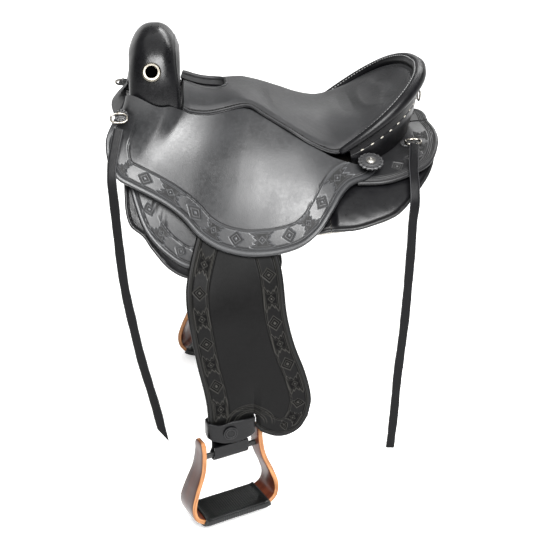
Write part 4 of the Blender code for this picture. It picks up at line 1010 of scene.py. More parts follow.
def build_seat():
    """The padded seat with its sewn channel and the hand hole. Returns its top surface."""
    rows, columns, step = 261, 161, 5
    t, v = np.linspace(0, 1, rows), np.linspace(-1, 1, columns)
    share_t, share_v = np.meshgrid(t, v, indexing="ij")
    grid = seat_points(share_t, share_v * (1 + SEAT_OVERHANG * (1 - ramp(share_t, 0.56, 0.66))))
    grid = meet_roll(grid, share_t)
    rough, rough_t, rough_v = grid[::step, ::step], share_t[::step, ::step], share_v[::step, ::step]
    inward = np.minimum(1 - abs(rough_v), np.minimum(rough_t, 1 - rough_t) * 2)
    hold = 1 - ramp(inward, 0.02, 0.30)
    flat = rough.reshape(-1, 3)
    puffed = swell(flat, grid_quads(*rough.shape[:2]), hold.ravel(), SEAT_LIFT_CAP)
    normal = normals_of(grid)
    normal *= np.sign(normal[..., 2:3])
    lift = finer(((puffed - flat)[:, 2]).reshape(rough.shape[:2]), rows, columns)
    lift = np.clip(lift, -0.0005, SEAT_LIFT_CAP)
    rim = np.concatenate([grid[:, 0], grid[-1], grid[::-1, -1]])
    far, _ = edge_field(grid, rim[::2])
    cantle = ramp(share_t, 0.60, 0.68)
    channel = ridge(far, 0.0045, 0.0022) * (1 - cantle) + ridge(far, 0.0075, 0.0016) * cantle
    lift = lift + 0.0022 * ramp(far, 0.004, 0.016) * (1 - cantle) - 0.0016 * channel
    lift = lift + 0.0018 * ramp(far, 0.008, 0.018) * cantle
    lift = lift - 0.0030 * (1 - rolled(far, 0.004))
    lift = lift + 0.0006 * lumps(grid, 0.06, 12) * ramp(far, 0.02, 0.05)
    outer = grid + normal * lift[..., None]
    middle = (1 - abs(share_v) ** 4) * (1 - share_t**6)
    inner = grid - normal * (0.0045 + 0.0065 * middle)[..., None]
    centre = (grid[1:, 1:] + grid[:-1, :-1]) / 2
    reach_x = HOLE_REAR - HOLE_CORNER
    corner = np.hypot(np.maximum(centre[..., 0] - reach_x, 0),
                      np.maximum(abs(centre[..., 1]) - HOLE_HALF + HOLE_CORNER, 0)) < HOLE_CORNER
    hole = (centre[..., 0] < HOLE_REAR) & (abs(centre[..., 1]) < HOLE_HALF) & corner
    # the sewn channel is marked stamp: rougher, and darker than the seat as painted shade; the rim painted
    # lighter: wear and painted highlight
    marks = {"stamp": channel * 0.9, "wear_and_highlight": 0.25 * ridge(far, 0.002, 0.002)}
    piece = masked_shell("seat_look", outer, inner, ~hole, marks)
    finish_piece(piece, "saddle", SEAT_LEATHER, ["seat"])
    return t, v, outer, normal, far


seat_t, seat_v, seat_top, seat_out, seat_far = build_seat()


def on_seat(x, y):
    """The seat's top above a place in plan."""
    flat = seat_top.reshape(-1, 3)
    index = [int(np.argmin((flat[:, 0] - a) ** 2 + (flat[:, 1] - b) ** 2)) for a, b in zip(x, y)]
    return flat[index]


def build_hole_rim():
    """The rolled leather edge round the hand hole."""
    line = hole_outline(0.0012, 36)
    reach = reach_of(line)
    at = np.linspace(0, reach[-1], 150)
    x, y = np.interp(at, reach, line[:, 0]), np.interp(at, reach, line[:, 1])
    z = on_seat(x + 0.001, y + 0.0035 * np.sign(y))[:, 2]
    z = np.convolve(np.pad(z, 8, mode="edge"), np.ones(17) / 17, "valid")
    piece = tube("hand_hole_rim", np.stack([x, y, z - 0.0012], 1), 0.0036, 14)
    finish_piece(piece, "saddle", SEAT_LEATHER)


build_hole_rim()


def build_seat_stitches():
    """The stitches and the piping along each side of the seat."""
    t = np.linspace(0.015, 0.60, 200)
    for side in (-1, 1):
        rows = np.interp(t, seat_t, np.arange(len(seat_t)))
        index = rows.round().astype(int)
        inside = [int(np.argmin(abs(seat_far[i, : len(seat_v) // 2] - 0.0045))) for i in index]
        inside = [k if side < 0 else len(seat_v) - 1 - k for k in inside]
        line = seat_top[index, inside] + seat_out[index, inside] * 0.0003
        name = "seat_stitches_left" if side < 0 else "seat_stitches_right"
        piece = stitch_row(name, line, seat_out[index, inside], 0.0052, (0.0044, 0.0026, 0.0013))
        finish_piece(piece, "saddle", BLACK_THREAD)
        rim = seat_top[: int(len(seat_t) * 0.62), 0 if side < 0 else -1] - np.array([0, 0, 0.0012])
        cord = tube(name.replace("stitches", "piping"), rim, 0.0019, 10)
        finish_piece(cord, "saddle", BLACK)


build_seat_stitches()

# ---------------------------------------------------------------- cantle

CANTLE_BASE = (
    (0.112, 0.132, 0.036), (0.138, 0.133, 0.0335), (0.172, 0.122, 0.0335), (0.206, 0.095, 0.0335),
    (0.232, 0.055, 0.0335), (0.246, 0.002, 0.0335),
)


def softened(line, width):
    """A line with its kinks smoothed out, ends kept."""
    pad = width // 2
    ends = np.concatenate([2 * line[:1] - line[pad:0:-1], line, 2 * line[-1:] - line[-2 : -pad - 2 : -1]])
    kernel = np.ones(width) / width
    return np.stack([np.convolve(ends[:, k], kernel, "valid") for k in range(3)], 1)


def build_cantle_roll():
    """The rolled rim of the cantle and the stitches inside it."""
    t = np.linspace(-1, 1, 241)
    centre = softened(cantle_rim(t), 13)
    ahead = unit(np.gradient(centre, axis=0))
    side = unit(np.cross(ahead, [0, 0, 1.0]))
    up = np.cross(side, ahead)
    angle = np.linspace(0, 2 * math.pi, 40, endpoint=False)
    ring = spokes(side[:, None], up[:, None], angle)
    radius = roll_radius(t)[:, None] * (1 - 0.05 * ridge(np.degrees(angle), 205.0, 14.0))[None]
    end = np.clip((1 - abs(t)) / 0.03, 0, 1)
    radius = radius * np.sqrt(1 - (1 - end) ** 2)[:, None].clip(0.12)
    # the top of the roll painted lighter: wear and painted highlight
    wear_and_highlight = 0.35 * ridge(np.degrees(angle), 95.0, 50.0)[None] + 0 * radius
    piece = loft("cantle_roll_look", centre[:, None] + ring * radius[..., None], marks={"wear_and_highlight": wear_and_highlight * 0.4})
    finish_piece(piece, "saddle", BLACK, ["cantle_roll"])
    keep = abs(t) < 0.94
    normal = side * -0.72 + up * 0.66
    if normal[120, 0] > 0:
        normal = side * 0.72 + up * 0.66
    inner = centre + normal * (radius.mean(1)[:, None] + 0.0003)
    piece = stitch_row("cantle_stitches", inner[keep], normal[keep], 0.0062, (0.0036, 0.0016, 0.0008))
    finish_piece(piece, "saddle", GREY_THREAD)


build_cantle_roll()


def cantle_panel(rows, columns):
    """The outside of the leather on the cantle's back, from the roll down to the rear jockeys."""
    t = np.repeat(0.93 * np.linspace(-1, 1, columns)[None], rows, 0)
    r = np.repeat(np.linspace(0, 1, rows)[:, None], columns, 1)
    rim = cantle_rim(t)
    base = along(CANTLE_BASE, 1 - abs(t))
    foot = back(base[..., 0], base[..., 1], base[..., 2])
    foot[..., 1] *= np.where(t > 0, -1, 1)
    down = unit(foot - rim)
    top = rim + down * (roll_radius(t) + 0.0022)[..., None]
    outward = unit(np.stack([rim[..., 0] - 0.10, rim[..., 1], 0 * r], -1))
    return top + (foot - top) * r[..., None] + outward * (np.sin(math.pi * r) * 0.004)[..., None], t, r


def build_cantle_back():
    """The leather on the cantle's back, with its light lacing."""
    grid, _, r = cantle_panel(60, 240)
    normal = normals_of(grid)
    outward = np.stack([grid[..., 0] - 0.10, grid[..., 1], 0 * r], -1)
    normal *= np.sign((normal * outward).sum(-1, keepdims=True))
    rise = 0.0006 * lumps(grid, 0.05, 21) - 0.0008 * ridge(r, 0.30, 0.035)
    piece = shell("cantle_back_look", grid + normal * rise[..., None], grid - normal * 0.0030,
                  {"stamp": 0.4 * ridge(r, 0.30, 0.03)})
    finish_piece(piece, "saddle", BLACK, ["cantle_back"])
    row = 18
    line, out = grid[row] + normal[row] * 0.0002, normal[row]
    for side, part in (("left", slice(6, 112)), ("right", slice(128, 234))):
        piece = stitch_row(f"cantle_lacing_{side}", line[part], out[part], 0.0200, (0.0062, 0.0019, 0.0009))
        finish_piece(piece, "saddle", WHITE_THREAD)


build_cantle_back()

# ---------------------------------------------------------------- pommel

POMMEL_X, POMMEL_HALF_LENGTH, POMMEL_HALF_WIDTH = -0.199, 0.043, 0.104
POMMEL_BASE_Z, POMMEL_TOP_Z = 0.112, 0.2325
GULLET_HALF_WIDTH, GULLET_TOP_Z = 0.058, 0.150
ARCH_POWER, SECTION_POWER, TOP_TAPER, POMMEL_THICK = 2.45, 2.8, 0.32, 0.0030
FOOT_CENTRE, FOOT_HALF, FOOT_TILT = (0.0804, 0.1062), 0.0148, math.radians(-13.7)


def fork_sections(shrink, stations, around):
    """Rounded sections over the pommel's arch, from the near foot to the far one."""
    angle = np.linspace(0, math.pi, stations)
    across, up = rounded(angle, ARCH_POWER)
    up = np.maximum(up, 0)
    arch = []
    for half, top in ((POMMEL_HALF_WIDTH, POMMEL_TOP_Z), (GULLET_HALF_WIDTH, GULLET_TOP_Z)):
        arch.append(np.stack([0 * across, half * across, POMMEL_BASE_Z + (top - POMMEL_BASE_Z) * up], 1))
    outer, inner = arch
    centre, out, half = (outer + inner) / 2, unit(outer - inner), length_of(outer - inner) / 2
    foot = np.array([0, *FOOT_CENTRE])
    foot_out = np.array([0, math.cos(FOOT_TILT), math.sin(FOOT_TILT)])
    flip = np.array([1, -1, 1])
    blend = np.linspace(0, 1, 10)[:-1, None]
    first_centre = foot + (centre[0] - foot) * blend
    first_out = unit(foot_out + (out[0] - foot_out) * blend)
    first_half = FOOT_HALF + (half[0] - FOOT_HALF) * blend[:, 0]
    centre = np.concatenate([first_centre, centre, (first_centre * flip)[::-1]])
    out = np.concatenate([first_out, out, (first_out * flip)[::-1]])
    half = np.concatenate([first_half, half, first_half[::-1]])
    turn = np.linspace(0, 2 * math.pi, around, endpoint=False)
    along_x, outward = rounded(turn, SECTION_POWER)
    narrow = 1 - TOP_TAPER * np.maximum(0, outward)[None] * np.maximum(0, out[:, 2:3]) ** 2
    x = POMMEL_X + (POMMEL_HALF_LENGTH - shrink) * along_x[None] * narrow
    points = centre[:, None] + out[:, None] * ((half - shrink)[:, None] * outward[None])[..., None]
    points[..., 0] += x
    return points


def smooth_rings(points, times):
    """Even out a run of rings along its length."""
    for _ in range(times):
        inside = (points[:-2] + 2 * points[1:-1] + points[2:]) / 4
        points = np.concatenate([points[:1], inside, points[-1:]])
    return points


def build_pommel():
    """The leather over the pommel: a seam behind, and a welt at each foot."""
    outer = smooth_rings(fork_sections(0.0, 150, 96), 12)
    inner = smooth_rings(fork_sections(POMMEL_THICK, 150, 96), 12)
    rows, around = outer.shape[:2]
    middle = outer.mean(1, keepdims=True)
    out = unit(outer - middle)
    turn = np.linspace(0, 360, around, endpoint=False)
    seam = ridge(turn, 24.0, 2.6)
    welt = ridge(turn, 18.0, 3.6)
    rise = 0.0009 * welt[None] - 0.0010 * seam[None] + 0.0005 * lumps(outer, 0.05, 31)
    outer = outer + out * rise[..., None]
    count = rows * around
    quads = [
        grid_quads(rows, around, wrap_columns=True),
        grid_quads(rows, around, count, wrap_columns=True)[:, ::-1],
    ]
    j = np.arange(around)
    for row in (0, rows - 1):
        ring = np.stack([row * around + (j + 1) % around, row * around + j,
                         count + row * around + j, count + row * around + (j + 1) % around], 1)
        quads.append(ring if row == 0 else ring[:, ::-1])
    # the seam groove marked stamp, rougher; the welt painted lighter: wear and painted highlight
    marks = {"stamp": np.concatenate([(0.7 * seam[None] + 0 * rise).ravel(), np.zeros(count)]),
             "wear_and_highlight": np.concatenate([(0.35 * welt[None] + 0 * rise).ravel(), np.zeros(count)])}
    points = np.concatenate([outer.reshape(-1, 3), inner.reshape(-1, 3)])
    piece = mesh_object("fork_cover_look", points, np.concatenate(quads), marks)
    finish_piece(piece, "saddle", POMMEL_LEATHER, ["fork_cover"])
    for side, row in (("left", rows - 3), ("right", 2)):
        ring = outer[row] + out[row] * 0.0006
        piece = tube(f"pommel_base_welt_{side}", ring[::2], 0.0021, 10, closed=True)
        finish_piece(piece, "saddle", POMMEL_LEATHER)


build_pommel()


def build_grommet_holes():
    """A dark cup inside each grommet: painted shade in its bore."""
    for side, sign in (("left", -1), ("right", 1)):
        centre = np.array([-0.203, sign * 0.0960, 0.176])
        across, up, out = frame_of((0, sign * 0.93, 0.37))
        angle = np.linspace(0, 2 * math.pi, 32, endpoint=False)
        spoke = spokes(across, up, angle)
        profile = ((0.0090, 0.0008), (0.0092, 0.0040), (0.0080, 0.0022), (0.0050, 0.0014))
        rings = np.stack([centre + spoke * r + out * h for r, h in profile])
        piece = loft(f"grommet_bore_shade_{side}", rings)
        finish_piece(piece, "saddle", BORE_SHADE)


build_grommet_holes()

# ---------------------------------------------------------------- rosettes and nickel fittings

DEE_HALF, DEE_WIRE, DEE_POWER = (0.0135, 0.0085), 0.0019, 2.6
CANTLE_DEE_WIRE = 0.86 * DEE_WIRE


def placed(place):
    """The point and the outward normal of a place (x, s, lift) on the near side."""
    x, s, lift = (np.array(value) for value in place)
    return back(x, s, lift), back_normal(x, s)


def build_rosette(stem, place, radius, thick, scallops, hole_at, hole_size):
    """A scalloped leather rosette with a ring of punched holes and a pressed rim."""
    centre, out = placed(place)
    across, up, out = frame_of(out)
    rows, around = 34, 224
    angle = np.linspace(0, 2 * math.pi, around, endpoint=False)[None]
    r = np.concatenate([np.linspace(0.04, 1, rows - 2), [1.0, 0.985]])[:, None]
    height = np.concatenate([np.full(rows - 2, 1.0), [0.45, 0.0]])[:, None]
    wave = 1 + 0.045 * np.cos(scallops * angle) * ramp(r, 0.6, 1.0)
    turn = (angle * scallops / (2 * math.pi)) % 1 - 0.5
    gap = np.hypot((r - hole_at) * radius, turn * 2 * math.pi / scallops * r * radius)
    hole = 1 - ramp(gap, hole_size * 0.75, hole_size * 1.15)
    top = height > 0.9
    dome = thick * height + 0.0006 * ridge(r, 0.55, 0.10) - thick * 0.75 * hole * top
    dome = dome - 0.0008 * ramp(r, 0.93, 1.0) * top
    spoke = spokes(across, up, angle)
    rings = centre + spoke * (radius * r * wave)[..., None] + out * dome[..., None]
    # the punched holes marked stamp and painted black as shade; the rim painted lighter: wear and painted
    # highlight
    marks = {"stamp": hole * top, "wear_and_highlight": 0.6 * ridge(r, 0.95, 0.06) + 0 * hole}
    piece = loft(f"{stem}_left_look", rings, marks=marks)
    pair(piece, stem, "saddle", ROSETTE_LEATHER, stem)


REAR_ROSETTE = (0.1550, 0.1515, 0.0502)
build_rosette("rear_rosette", REAR_ROSETTE, 0.0207, 0.0036, 16, 0.83, 0.0016)
build_rosette("front_rosette", (-0.2564, 0.0792, 0.0572), 0.0112, 0.0030, 12, 0.80, 0.0010)
build_rosette("string_rosette", (0.2275, 0.0885, 0.0316), 0.0098, 0.0030, 12, 0.80, 0.0009)


def build_concho(stem, centre, normal, radius, thick):
    """A domed nickel button with a stepped rim and a small slotted screw."""
    across, up, out = frame_of(normal)
    angle = np.linspace(0, 2 * math.pi, 48, endpoint=False)
    spoke = spokes(across, up, angle)
    profile = ((1.0, 0.0), (1.0, 0.35), (0.96, 0.48), (0.84, 0.50), (0.78, 0.62), (0.60, 0.86),
               (0.42, 0.97), (0.36, 0.82), (0.32, 0.82), (0.30, 1.02), (0.18, 1.12), (0.04, 1.14))
    rings = np.stack([centre + spoke * radius * r + out * thick * h for r, h in profile])
    piece = loft(f"{stem}_left_look", rings, sharp=28)
    pair(piece, stem, "saddle", CONCHO_NICKEL, stem)


rosette_centre, rosette_out = placed(REAR_ROSETTE)
build_concho("rear_concho", rosette_centre + rosette_out * 0.0038, rosette_out, 0.0078, 0.0030)


def build_dee(stem, place):
    """A cast nickel dee: a round wire loop with a thicker, knuckled top bar."""
    centre, out = placed(place)
    across, up, out = frame_of(out)
    angle = np.linspace(0, 2 * math.pi, 120, endpoint=False)
    c, s = rounded(angle, DEE_POWER)
    line = centre + across * (DEE_HALF[0] * c)[:, None] + up * (DEE_HALF[1] * s)[:, None]
    radius = DEE_WIRE * (1 + 0.22 * ridge(np.degrees(angle), 90.0, 16.0))
    piece = tube(f"{stem}_left_look", line, radius, 14, closed=True)
    for side in ("left", "right"):
        made = piece if side == "left" else mirror_copy(piece, f"{stem}_right_look")
        finish_piece(made, f"{stem}_{side}", NICKEL, [f"{stem}_{side}"])
    knot = tube(f"{stem}_clip_left", np.stack([
        centre + up * (DEE_HALF[1] + 0.0042 * math.cos(a)) + out * (0.0042 * math.sin(a) - 0.0008)
        for a in np.linspace(math.radians(-120), math.radians(120), 20)]), 0.0009, 10)
    pair(knot, f"{stem}_clip", "saddle", NICKEL)


build_dee("front_dee", (-0.260, 0.0860, 0.0625))
build_dee("rear_dee", (0.239, 0.092, 0.0375))


def build_cantle_dee():
    """The dee behind the cantle, of thinner wire so that it clears its keeper when it swings up."""
    centre = np.array([0.2640, -0.004, 0.0990])
    c, s = rounded(np.linspace(0, 2 * math.pi, 96, endpoint=False), DEE_POWER)
    line = centre + np.stack([0.00085 * s, 0.0105 * c, 0.0085 * s], 1)
    piece = tube("cantle_dee_look", line, CANTLE_DEE_WIRE, 14, closed=True)
    finish_piece(piece, "cantle_dee", NICKEL, ["cantle_dee"])


build_cantle_dee()

# ---------------------------------------------------------------- fender

FENDER_TOP = ((-0.137, -0.0665), (-0.105, -0.0800), (-0.068, -0.0873), (-0.037, -0.0872), (-0.009, -0.0835))
FENDER_LEFT = (
    (-0.137, -0.0665), (-0.149, -0.1020), (-0.158, -0.1400), (-0.1585, -0.1700), (-0.153, -0.2150),
    (-0.143, -0.2810), (-0.133, -0.3300), (-0.129, -0.3600), (-0.128, -0.4000),
)
FENDER_RIGHT = (
    (-0.009, -0.0835), (-0.001, -0.1160), (0.006, -0.1850), (0.019, -0.2420), (0.038, -0.2970),
    (0.048, -0.3450), (0.043, -0.3800),
)
FENDER_BOTTOM = (
    (-0.128, -0.4000), (-0.051, -0.4000), (-0.033, -0.4110), (-0.012, -0.4190), (0.009, -0.4170),
    (0.029, -0.4040), (0.043, -0.3800),
)
HANG_Y, HANG_FROM, HANG_LIFT, HANG_DOWN_TO = 0.283, 0.246, 0.0288, -0.210
NECK_TURN, NECK_X, SLOT_X, SLOT_HALF, SLOT_TOP = 12.0, -0.0905, -0.0490, 0.0035, -0.377
FENDER_THICK = 0.0040
FENDER_FRONT_MOTIFS = ((0.0840, 0.1745, 0.2580), (0.0370, 0.1290, 0.2155, 0.3000))
FENDER_REAR_MOTIFS = ((0.0330, 0.1130, 0.1900, 0.2790, 0.3570), (0.0730, 0.1510, 0.2330, 0.3190))


def hermite(a, b, slope_a, slope_b, t):
    return ((2 * t**3 - 3 * t**2 + 1) * a + (t**3 - 2 * t**2 + t) * slope_a
            + (3 * t**2 - 2 * t**3) * b + (t**3 - t**2) * slope_b)


def hang_y(x, z):
    """How far out the fender hangs: off the skirt it curves over into the vertical."""
    start = back(x, HANG_FROM, HANG_LIFT)
    slope = (back(x, HANG_FROM + 0.01, HANG_LIFT) - start) / 0.01
    drop = start[..., 2] - HANG_DOWN_TO
    low, high = np.zeros_like(x), np.ones_like(x)
    for _ in range(30):
        t = (low + high) / 2
        above = hermite(start[..., 2], HANG_DOWN_TO, slope[..., 2] * drop, -drop, t) > z
        low, high = np.where(above, t, low), np.where(above, high, t)
    y = hermite(start[..., 1], -HANG_Y, slope[..., 1] * drop, 0.0, t)
    top = start[..., 1] + slope[..., 1] * (start[..., 2] - z) / -slope[..., 2]
    return np.where(z >= start[..., 2], top, np.where(z <= HANG_DOWN_TO, -HANG_Y, y))


def neck_twist(x, z):
    """How far the fender's neck is turned in toward the stirrup's own angle."""
    share = np.clip((-0.300 - z) / 0.085, 0, 1)
    share = share * share * (3 - 2 * share)
    back_out = np.maximum(0, 1 - np.maximum(0, x - SLOT_X) / 0.012)
    return share * math.tan(math.radians(NECK_TURN)) * (np.minimum(x, SLOT_X) - NECK_X) * back_out


def patch(u, v):
    """Places (x, z) of the fender between its four edges."""
    top, bottom = along(FENDER_TOP, u), along(FENDER_BOTTOM, u)
    left, right = along(FENDER_LEFT, v), along(FENDER_RIGHT, v)
    a, b, c, d = (np.array(p) for p in (FENDER_TOP[0], FENDER_TOP[-1], FENDER_BOTTOM[0], FENDER_BOTTOM[-1]))
    u, v = u[..., None], v[..., None]
    flat = (1 - v) * ((1 - u) * a + u * b) + v * ((1 - u) * c + u * d)
    return (1 - v) * top + v * bottom + (1 - u) * left + u * right - flat


def cross_cut(grid_x, grid_z, left, right):
    """A cell mask for the slot between two x places, below its top."""
    x = (grid_x[1:, 1:] + grid_x[:-1, :-1]) / 2
    z = (grid_z[1:, 1:] + grid_z[:-1, :-1]) / 2
    return (x > left) & (x < right) & (z < SLOT_TOP)


def build_fender():
    """The hanging fender: tooled borders and the scroll over the slot at its neck."""
    rows, columns = 300, 176
    u, v = np.linspace(0, 1, columns), np.linspace(0, 1, rows)
    share_u, share_v = np.meshgrid(u, v)
    spot = patch(share_u, share_v)
    x, z = spot[..., 0], spot[..., 1]
    surface = np.stack([x, hang_y(x, z) + neck_twist(x, z), z], -1)
    left = along(FENDER_LEFT, np.linspace(0, 1, 160))
    right = np.concatenate([along(FENDER_RIGHT, np.linspace(0, 1, 160)),
                            along(FENDER_BOTTOM, np.linspace(1, 0.30, 100))[1:]])
    far_left, place_left = edge_field(spot, left)
    far_right, place_right = edge_field(spot, right)
    nearer = far_left < far_right
    size = {"edge": 0.0062, "lines": (0.0080, 0.0105, 0.0345, 0.0370), "middle": 0.0225, "size": 0.96}
    fade = ramp(z, -0.392, -0.372)
    rise_l, marks_l = bordered(far_left, place_left, *FENDER_FRONT_MOTIFS, **size)
    rise_r, marks_r = bordered(far_right, place_right, *FENDER_REAR_MOTIFS, **size)
    foot = np.minimum(far_left, far_right) < 0.0075
    mute = np.where(nearer, np.maximum(fade, foot), 1)
    rise = np.where(nearer, rise_l * mute, rise_r)
    marks = {key: np.where(nearer, marks_l[key] * mute, marks_r[key]) for key in marks_l}
    arch = np.hypot((x + 0.0560) / 1.25, z + 0.3900)
    scroll = sum(ridge(arch, radius, 0.0011) for radius in (0.0190, 0.0225, 0.0300, 0.0335))
    scroll = scroll * ramp(z, -0.396, -0.386) * ramp(x, -0.105, -0.095) * (1 - ramp(x, -0.020, -0.010))
    scroll = scroll * np.minimum(ramp(far_left, 0.012, 0.020), ramp(far_right, 0.014, 0.022))
    rise = rise - 0.0009 * scroll
    # the scroll's cuts are marked stamp and line; the line mark wins and paints them lighter than the fender:
    # painted highlight
    marks["stamp"] = np.maximum(marks["stamp"], 0.8 * scroll)
    marks["line"] = np.maximum(marks["line"], 0.7 * scroll)
    normal = normals_of(surface)
    normal *= -np.sign(normal[..., 1:2])
    half = FENDER_THICK / 2
    hung = surface + normal * (half + rise + 0.0005 * lumps(surface, 0.08, 41))[..., None]
    slot = cross_cut(x, z, SLOT_X - SLOT_HALF, SLOT_X + SLOT_HALF)
    piece = masked_shell("fender_left_look", hung, surface - normal * half, ~slot, marks)
    pair(piece, "fender", "hanging", FENDER_LEATHER, "fender")


build_fender()

# ---------------------------------------------------------------- hobble strap and stirrup leather

BOLT = np.array([-0.093, -0.283, -0.443])
LOOP_RADIUS, STRAP_Y, STRAP_HALF_WIDTH, LEATHER_THICK = 0.0085, -0.2742, 0.0325, 0.0035
HOBBLE_Y, MEDALLION_RADIUS = -0.2795, 0.0123
STIRRUP_TURN_DEG = 24.0
STIRRUP_TURN = math.radians(STIRRUP_TURN_DEG)
BOLT_WAY = np.array([math.cos(STIRRUP_TURN), math.sin(STIRRUP_TURN), 0])
THROUGH = np.cross([0, 0, 1.0], BOLT_WAY)


def build_hobble_strap():
    """The strap round the neck of the leathers: waved above, rounded below."""
    rows, around = 30, 200
    turn = -math.radians(NECK_TURN)
    wide = np.array([math.cos(turn), -math.sin(turn), 0])
    deep = np.array([math.sin(turn), math.cos(turn), 0])
    angle = np.linspace(0, 2 * math.pi, around, endpoint=False)
    c, s = rounded(angle, 5.0)
    front = ramp(-s, 0.2, 0.9)
    top = -0.3800 - 0.0048 * ridge(c, -0.45, 0.55) * front - 0.0012 * (1 - front)
    low = -0.4090 - 0.0135 * (1 - c**2) * front
    share = np.linspace(0, 1, rows)[:, None]
    z = low[None] + (top - low)[None] * share
    edge = np.minimum(z - low[None], top[None] - z)
    line = ridge(edge, 0.0032, 0.0009)
    rise = -0.0009 * (1 - rolled(edge, 0.0018)) - 0.0005 * line
    rings = []
    for extra in (0.0028, 0.0):
        x = (0.0400 + extra + (rise if extra else 0)) * c[None]
        y = (0.0125 + extra + (rise if extra else 0)) * s[None]
        spot = x[..., None] * wide + y[..., None] * deep + 0 * z[..., None]
        spot[..., 0] += NECK_X
        spot[..., 1] += HOBBLE_Y
        spot[..., 2] += z
        rings.append(spot)
    outer, inner = rings
    closed = np.concatenate([outer, inner[::-1]])
    # the rounded edges painted lighter: wear and painted highlight; the scored line marked stamp, rougher
    marks = {"wear_and_highlight": np.concatenate([0.7 * ridge(edge, 0.0008, 0.0010), 0 * edge]),
             "stamp": np.concatenate([0.8 * line, 0 * edge])}
    piece = mesh_object("hobble_strap_left_look", closed.reshape(-1, 3),
                        grid_quads(2 * rows, around, wrap_rows=True, wrap_columns=True), marks)
    pair(piece, "hobble_strap", "hanging", BLACK, "hobble_strap")


build_hobble_strap()


def build_medallion():
    """A plain leather button on the hobble strap, pressed with two rings."""
    turn = math.radians(NECK_TURN)
    centre = np.array([NECK_X, -0.2963, -0.4010])
    across, up, out = frame_of((math.sin(turn), -math.cos(turn), 0))
    angle = np.linspace(0, 2 * math.pi, 96, endpoint=False)
    spoke = spokes(across, up, angle)
    r = np.concatenate([[1.0, 1.0], np.linspace(0.985, 0.03, 40)])
    groove_depth = ridge(r, 0.80, 0.07) + ridge(r, 0.48, 0.07)
    high = 0.0026 * np.sqrt(np.clip(1 - (r / 1.25) ** 4, 0, 1)) - 0.0007 * groove_depth
    high[0] = 0.0
    rings = centre + spoke[None] * (MEDALLION_RADIUS * r)[:, None, None] + out * high[:, None, None]
    # the ring crests painted lighter: wear and painted highlight
    wear_and_highlight = (0.8 * (ridge(r, 0.93, 0.06) + ridge(r, 0.63, 0.07)))[:, None] + 0 * angle[None]
    stamp = (0.9 * groove_depth)[:, None] + 0 * angle[None]
    piece = loft("hobble_concho_left_look", rings, marks={"wear_and_highlight": wear_and_highlight, "stamp": stamp})
    pair(piece, "hobble_concho", "hanging", BLACK, "hobble_concho")


build_medallion()


def build_stirrup_leather():
    """The strap behind the fender, down round the stirrup bolt and back up."""
    rows = []
    for z in (-0.118, -0.150, -0.185, -0.225, -0.275, -0.320):
        gap = (HANG_Y + STRAP_Y) * (1.0 if z < HANG_DOWN_TO else 1.15)
        x = -0.080 - 0.010 * (-0.118 - z) / 0.24
        rows.append(((x, float(hang_y(np.array(x), np.array(z))) + gap, z), 0.0))
    rows.append(((-0.090, STRAP_Y, -0.352), NECK_TURN / 2))
    for z, turn, share in ((-0.385, 12, 0.0), (-0.405, 13, 0.1), (-0.422, 17, 0.5), (-0.434, 23, 1.0)):
        x = NECK_X + (BOLT[0] - NECK_X) * share
        rows.append(((x, STRAP_Y + (BOLT[1] + LOOP_RADIUS - STRAP_Y) * share, z), turn))
    for n in range(7):
        angle = math.pi * n / 6
        drop = np.array([0, 0, LOOP_RADIUS * math.sin(angle)])
        rows.append((tuple(BOLT + THROUGH * LOOP_RADIUS * math.cos(angle) - drop), STIRRUP_TURN_DEG))
    rows.append((tuple(BOLT - THROUGH * LOOP_RADIUS + np.array([0, 0, 0.018])), STIRRUP_TURN_DEG))
    line = np.array([spot for spot, _ in rows])
    turns = np.radians([turn for _, turn in rows])
    reach = reach_of(line)
    at = np.linspace(0, reach[-1], 420)
    line = smooth(reach, line, at)
    turns = smooth(reach, turns, at)[:, 0]
    across = np.stack([np.cos(turns), np.sin(turns), 0 * turns], 1)
    v = np.linspace(-1, 1, 40)
    grid = line[:, None] + across[:, None] * (STRAP_HALF_WIDTH * v)[None, :, None]
    normal = normals_of(grid)
    if normal[40, 20, 1] > 0:
        normal = -normal
    edge = (1 - abs(v))[None] * STRAP_HALF_WIDTH + 0 * at[:, None]
    line_mark = ridge(edge, 0.0030, 0.0010)
    rise = -0.0010 * (1 - rolled(edge, 0.0020)) - 0.0004 * line_mark
    half = LEATHER_THICK / 2
    # the rounded edges painted lighter: wear and painted highlight; the scored line marked stamp, rougher
    marks = {"wear_and_highlight": 0.6 * ridge(edge, 0.0008, 0.0009), "stamp": 0.7 * line_mark}
    piece = shell("stirrup_leather_left_look", grid + normal * (half + rise)[..., None],
                  grid - normal * (half + rise * 0.5)[..., None], marks)
    pair(piece, "stirrup_leather", "hanging", BLACK, "stirrup_leather")


build_stirrup_leather()

# ---------------------------------------------------------------- stirrup

STIRRUP_TOP = np.array([-0.093, -0.283, -0.398])
STIRRUP_THICK = 0.010
STIRRUP_HALF = (
    (-0.0545, -0.010, 0.027), (-0.0540, -0.033, 0.032), (-0.0585, -0.065, 0.039), (-0.0720, -0.100, 0.047),
    (-0.0800, -0.128, 0.053), (-0.0760, -0.148, 0.057), (-0.0600, -0.159, 0.060), (-0.0400, -0.160, 0.060),
    (-0.0200, -0.160, 0.060),
)
STIRRUP_PATH = STIRRUP_HALF + tuple((-u, v, w) for u, v, w in STIRRUP_HALF[::-1])
TREAD_SPAN, TREAD_COVER = (10 / 28, 18 / 28), (0.0004, 0.0033)


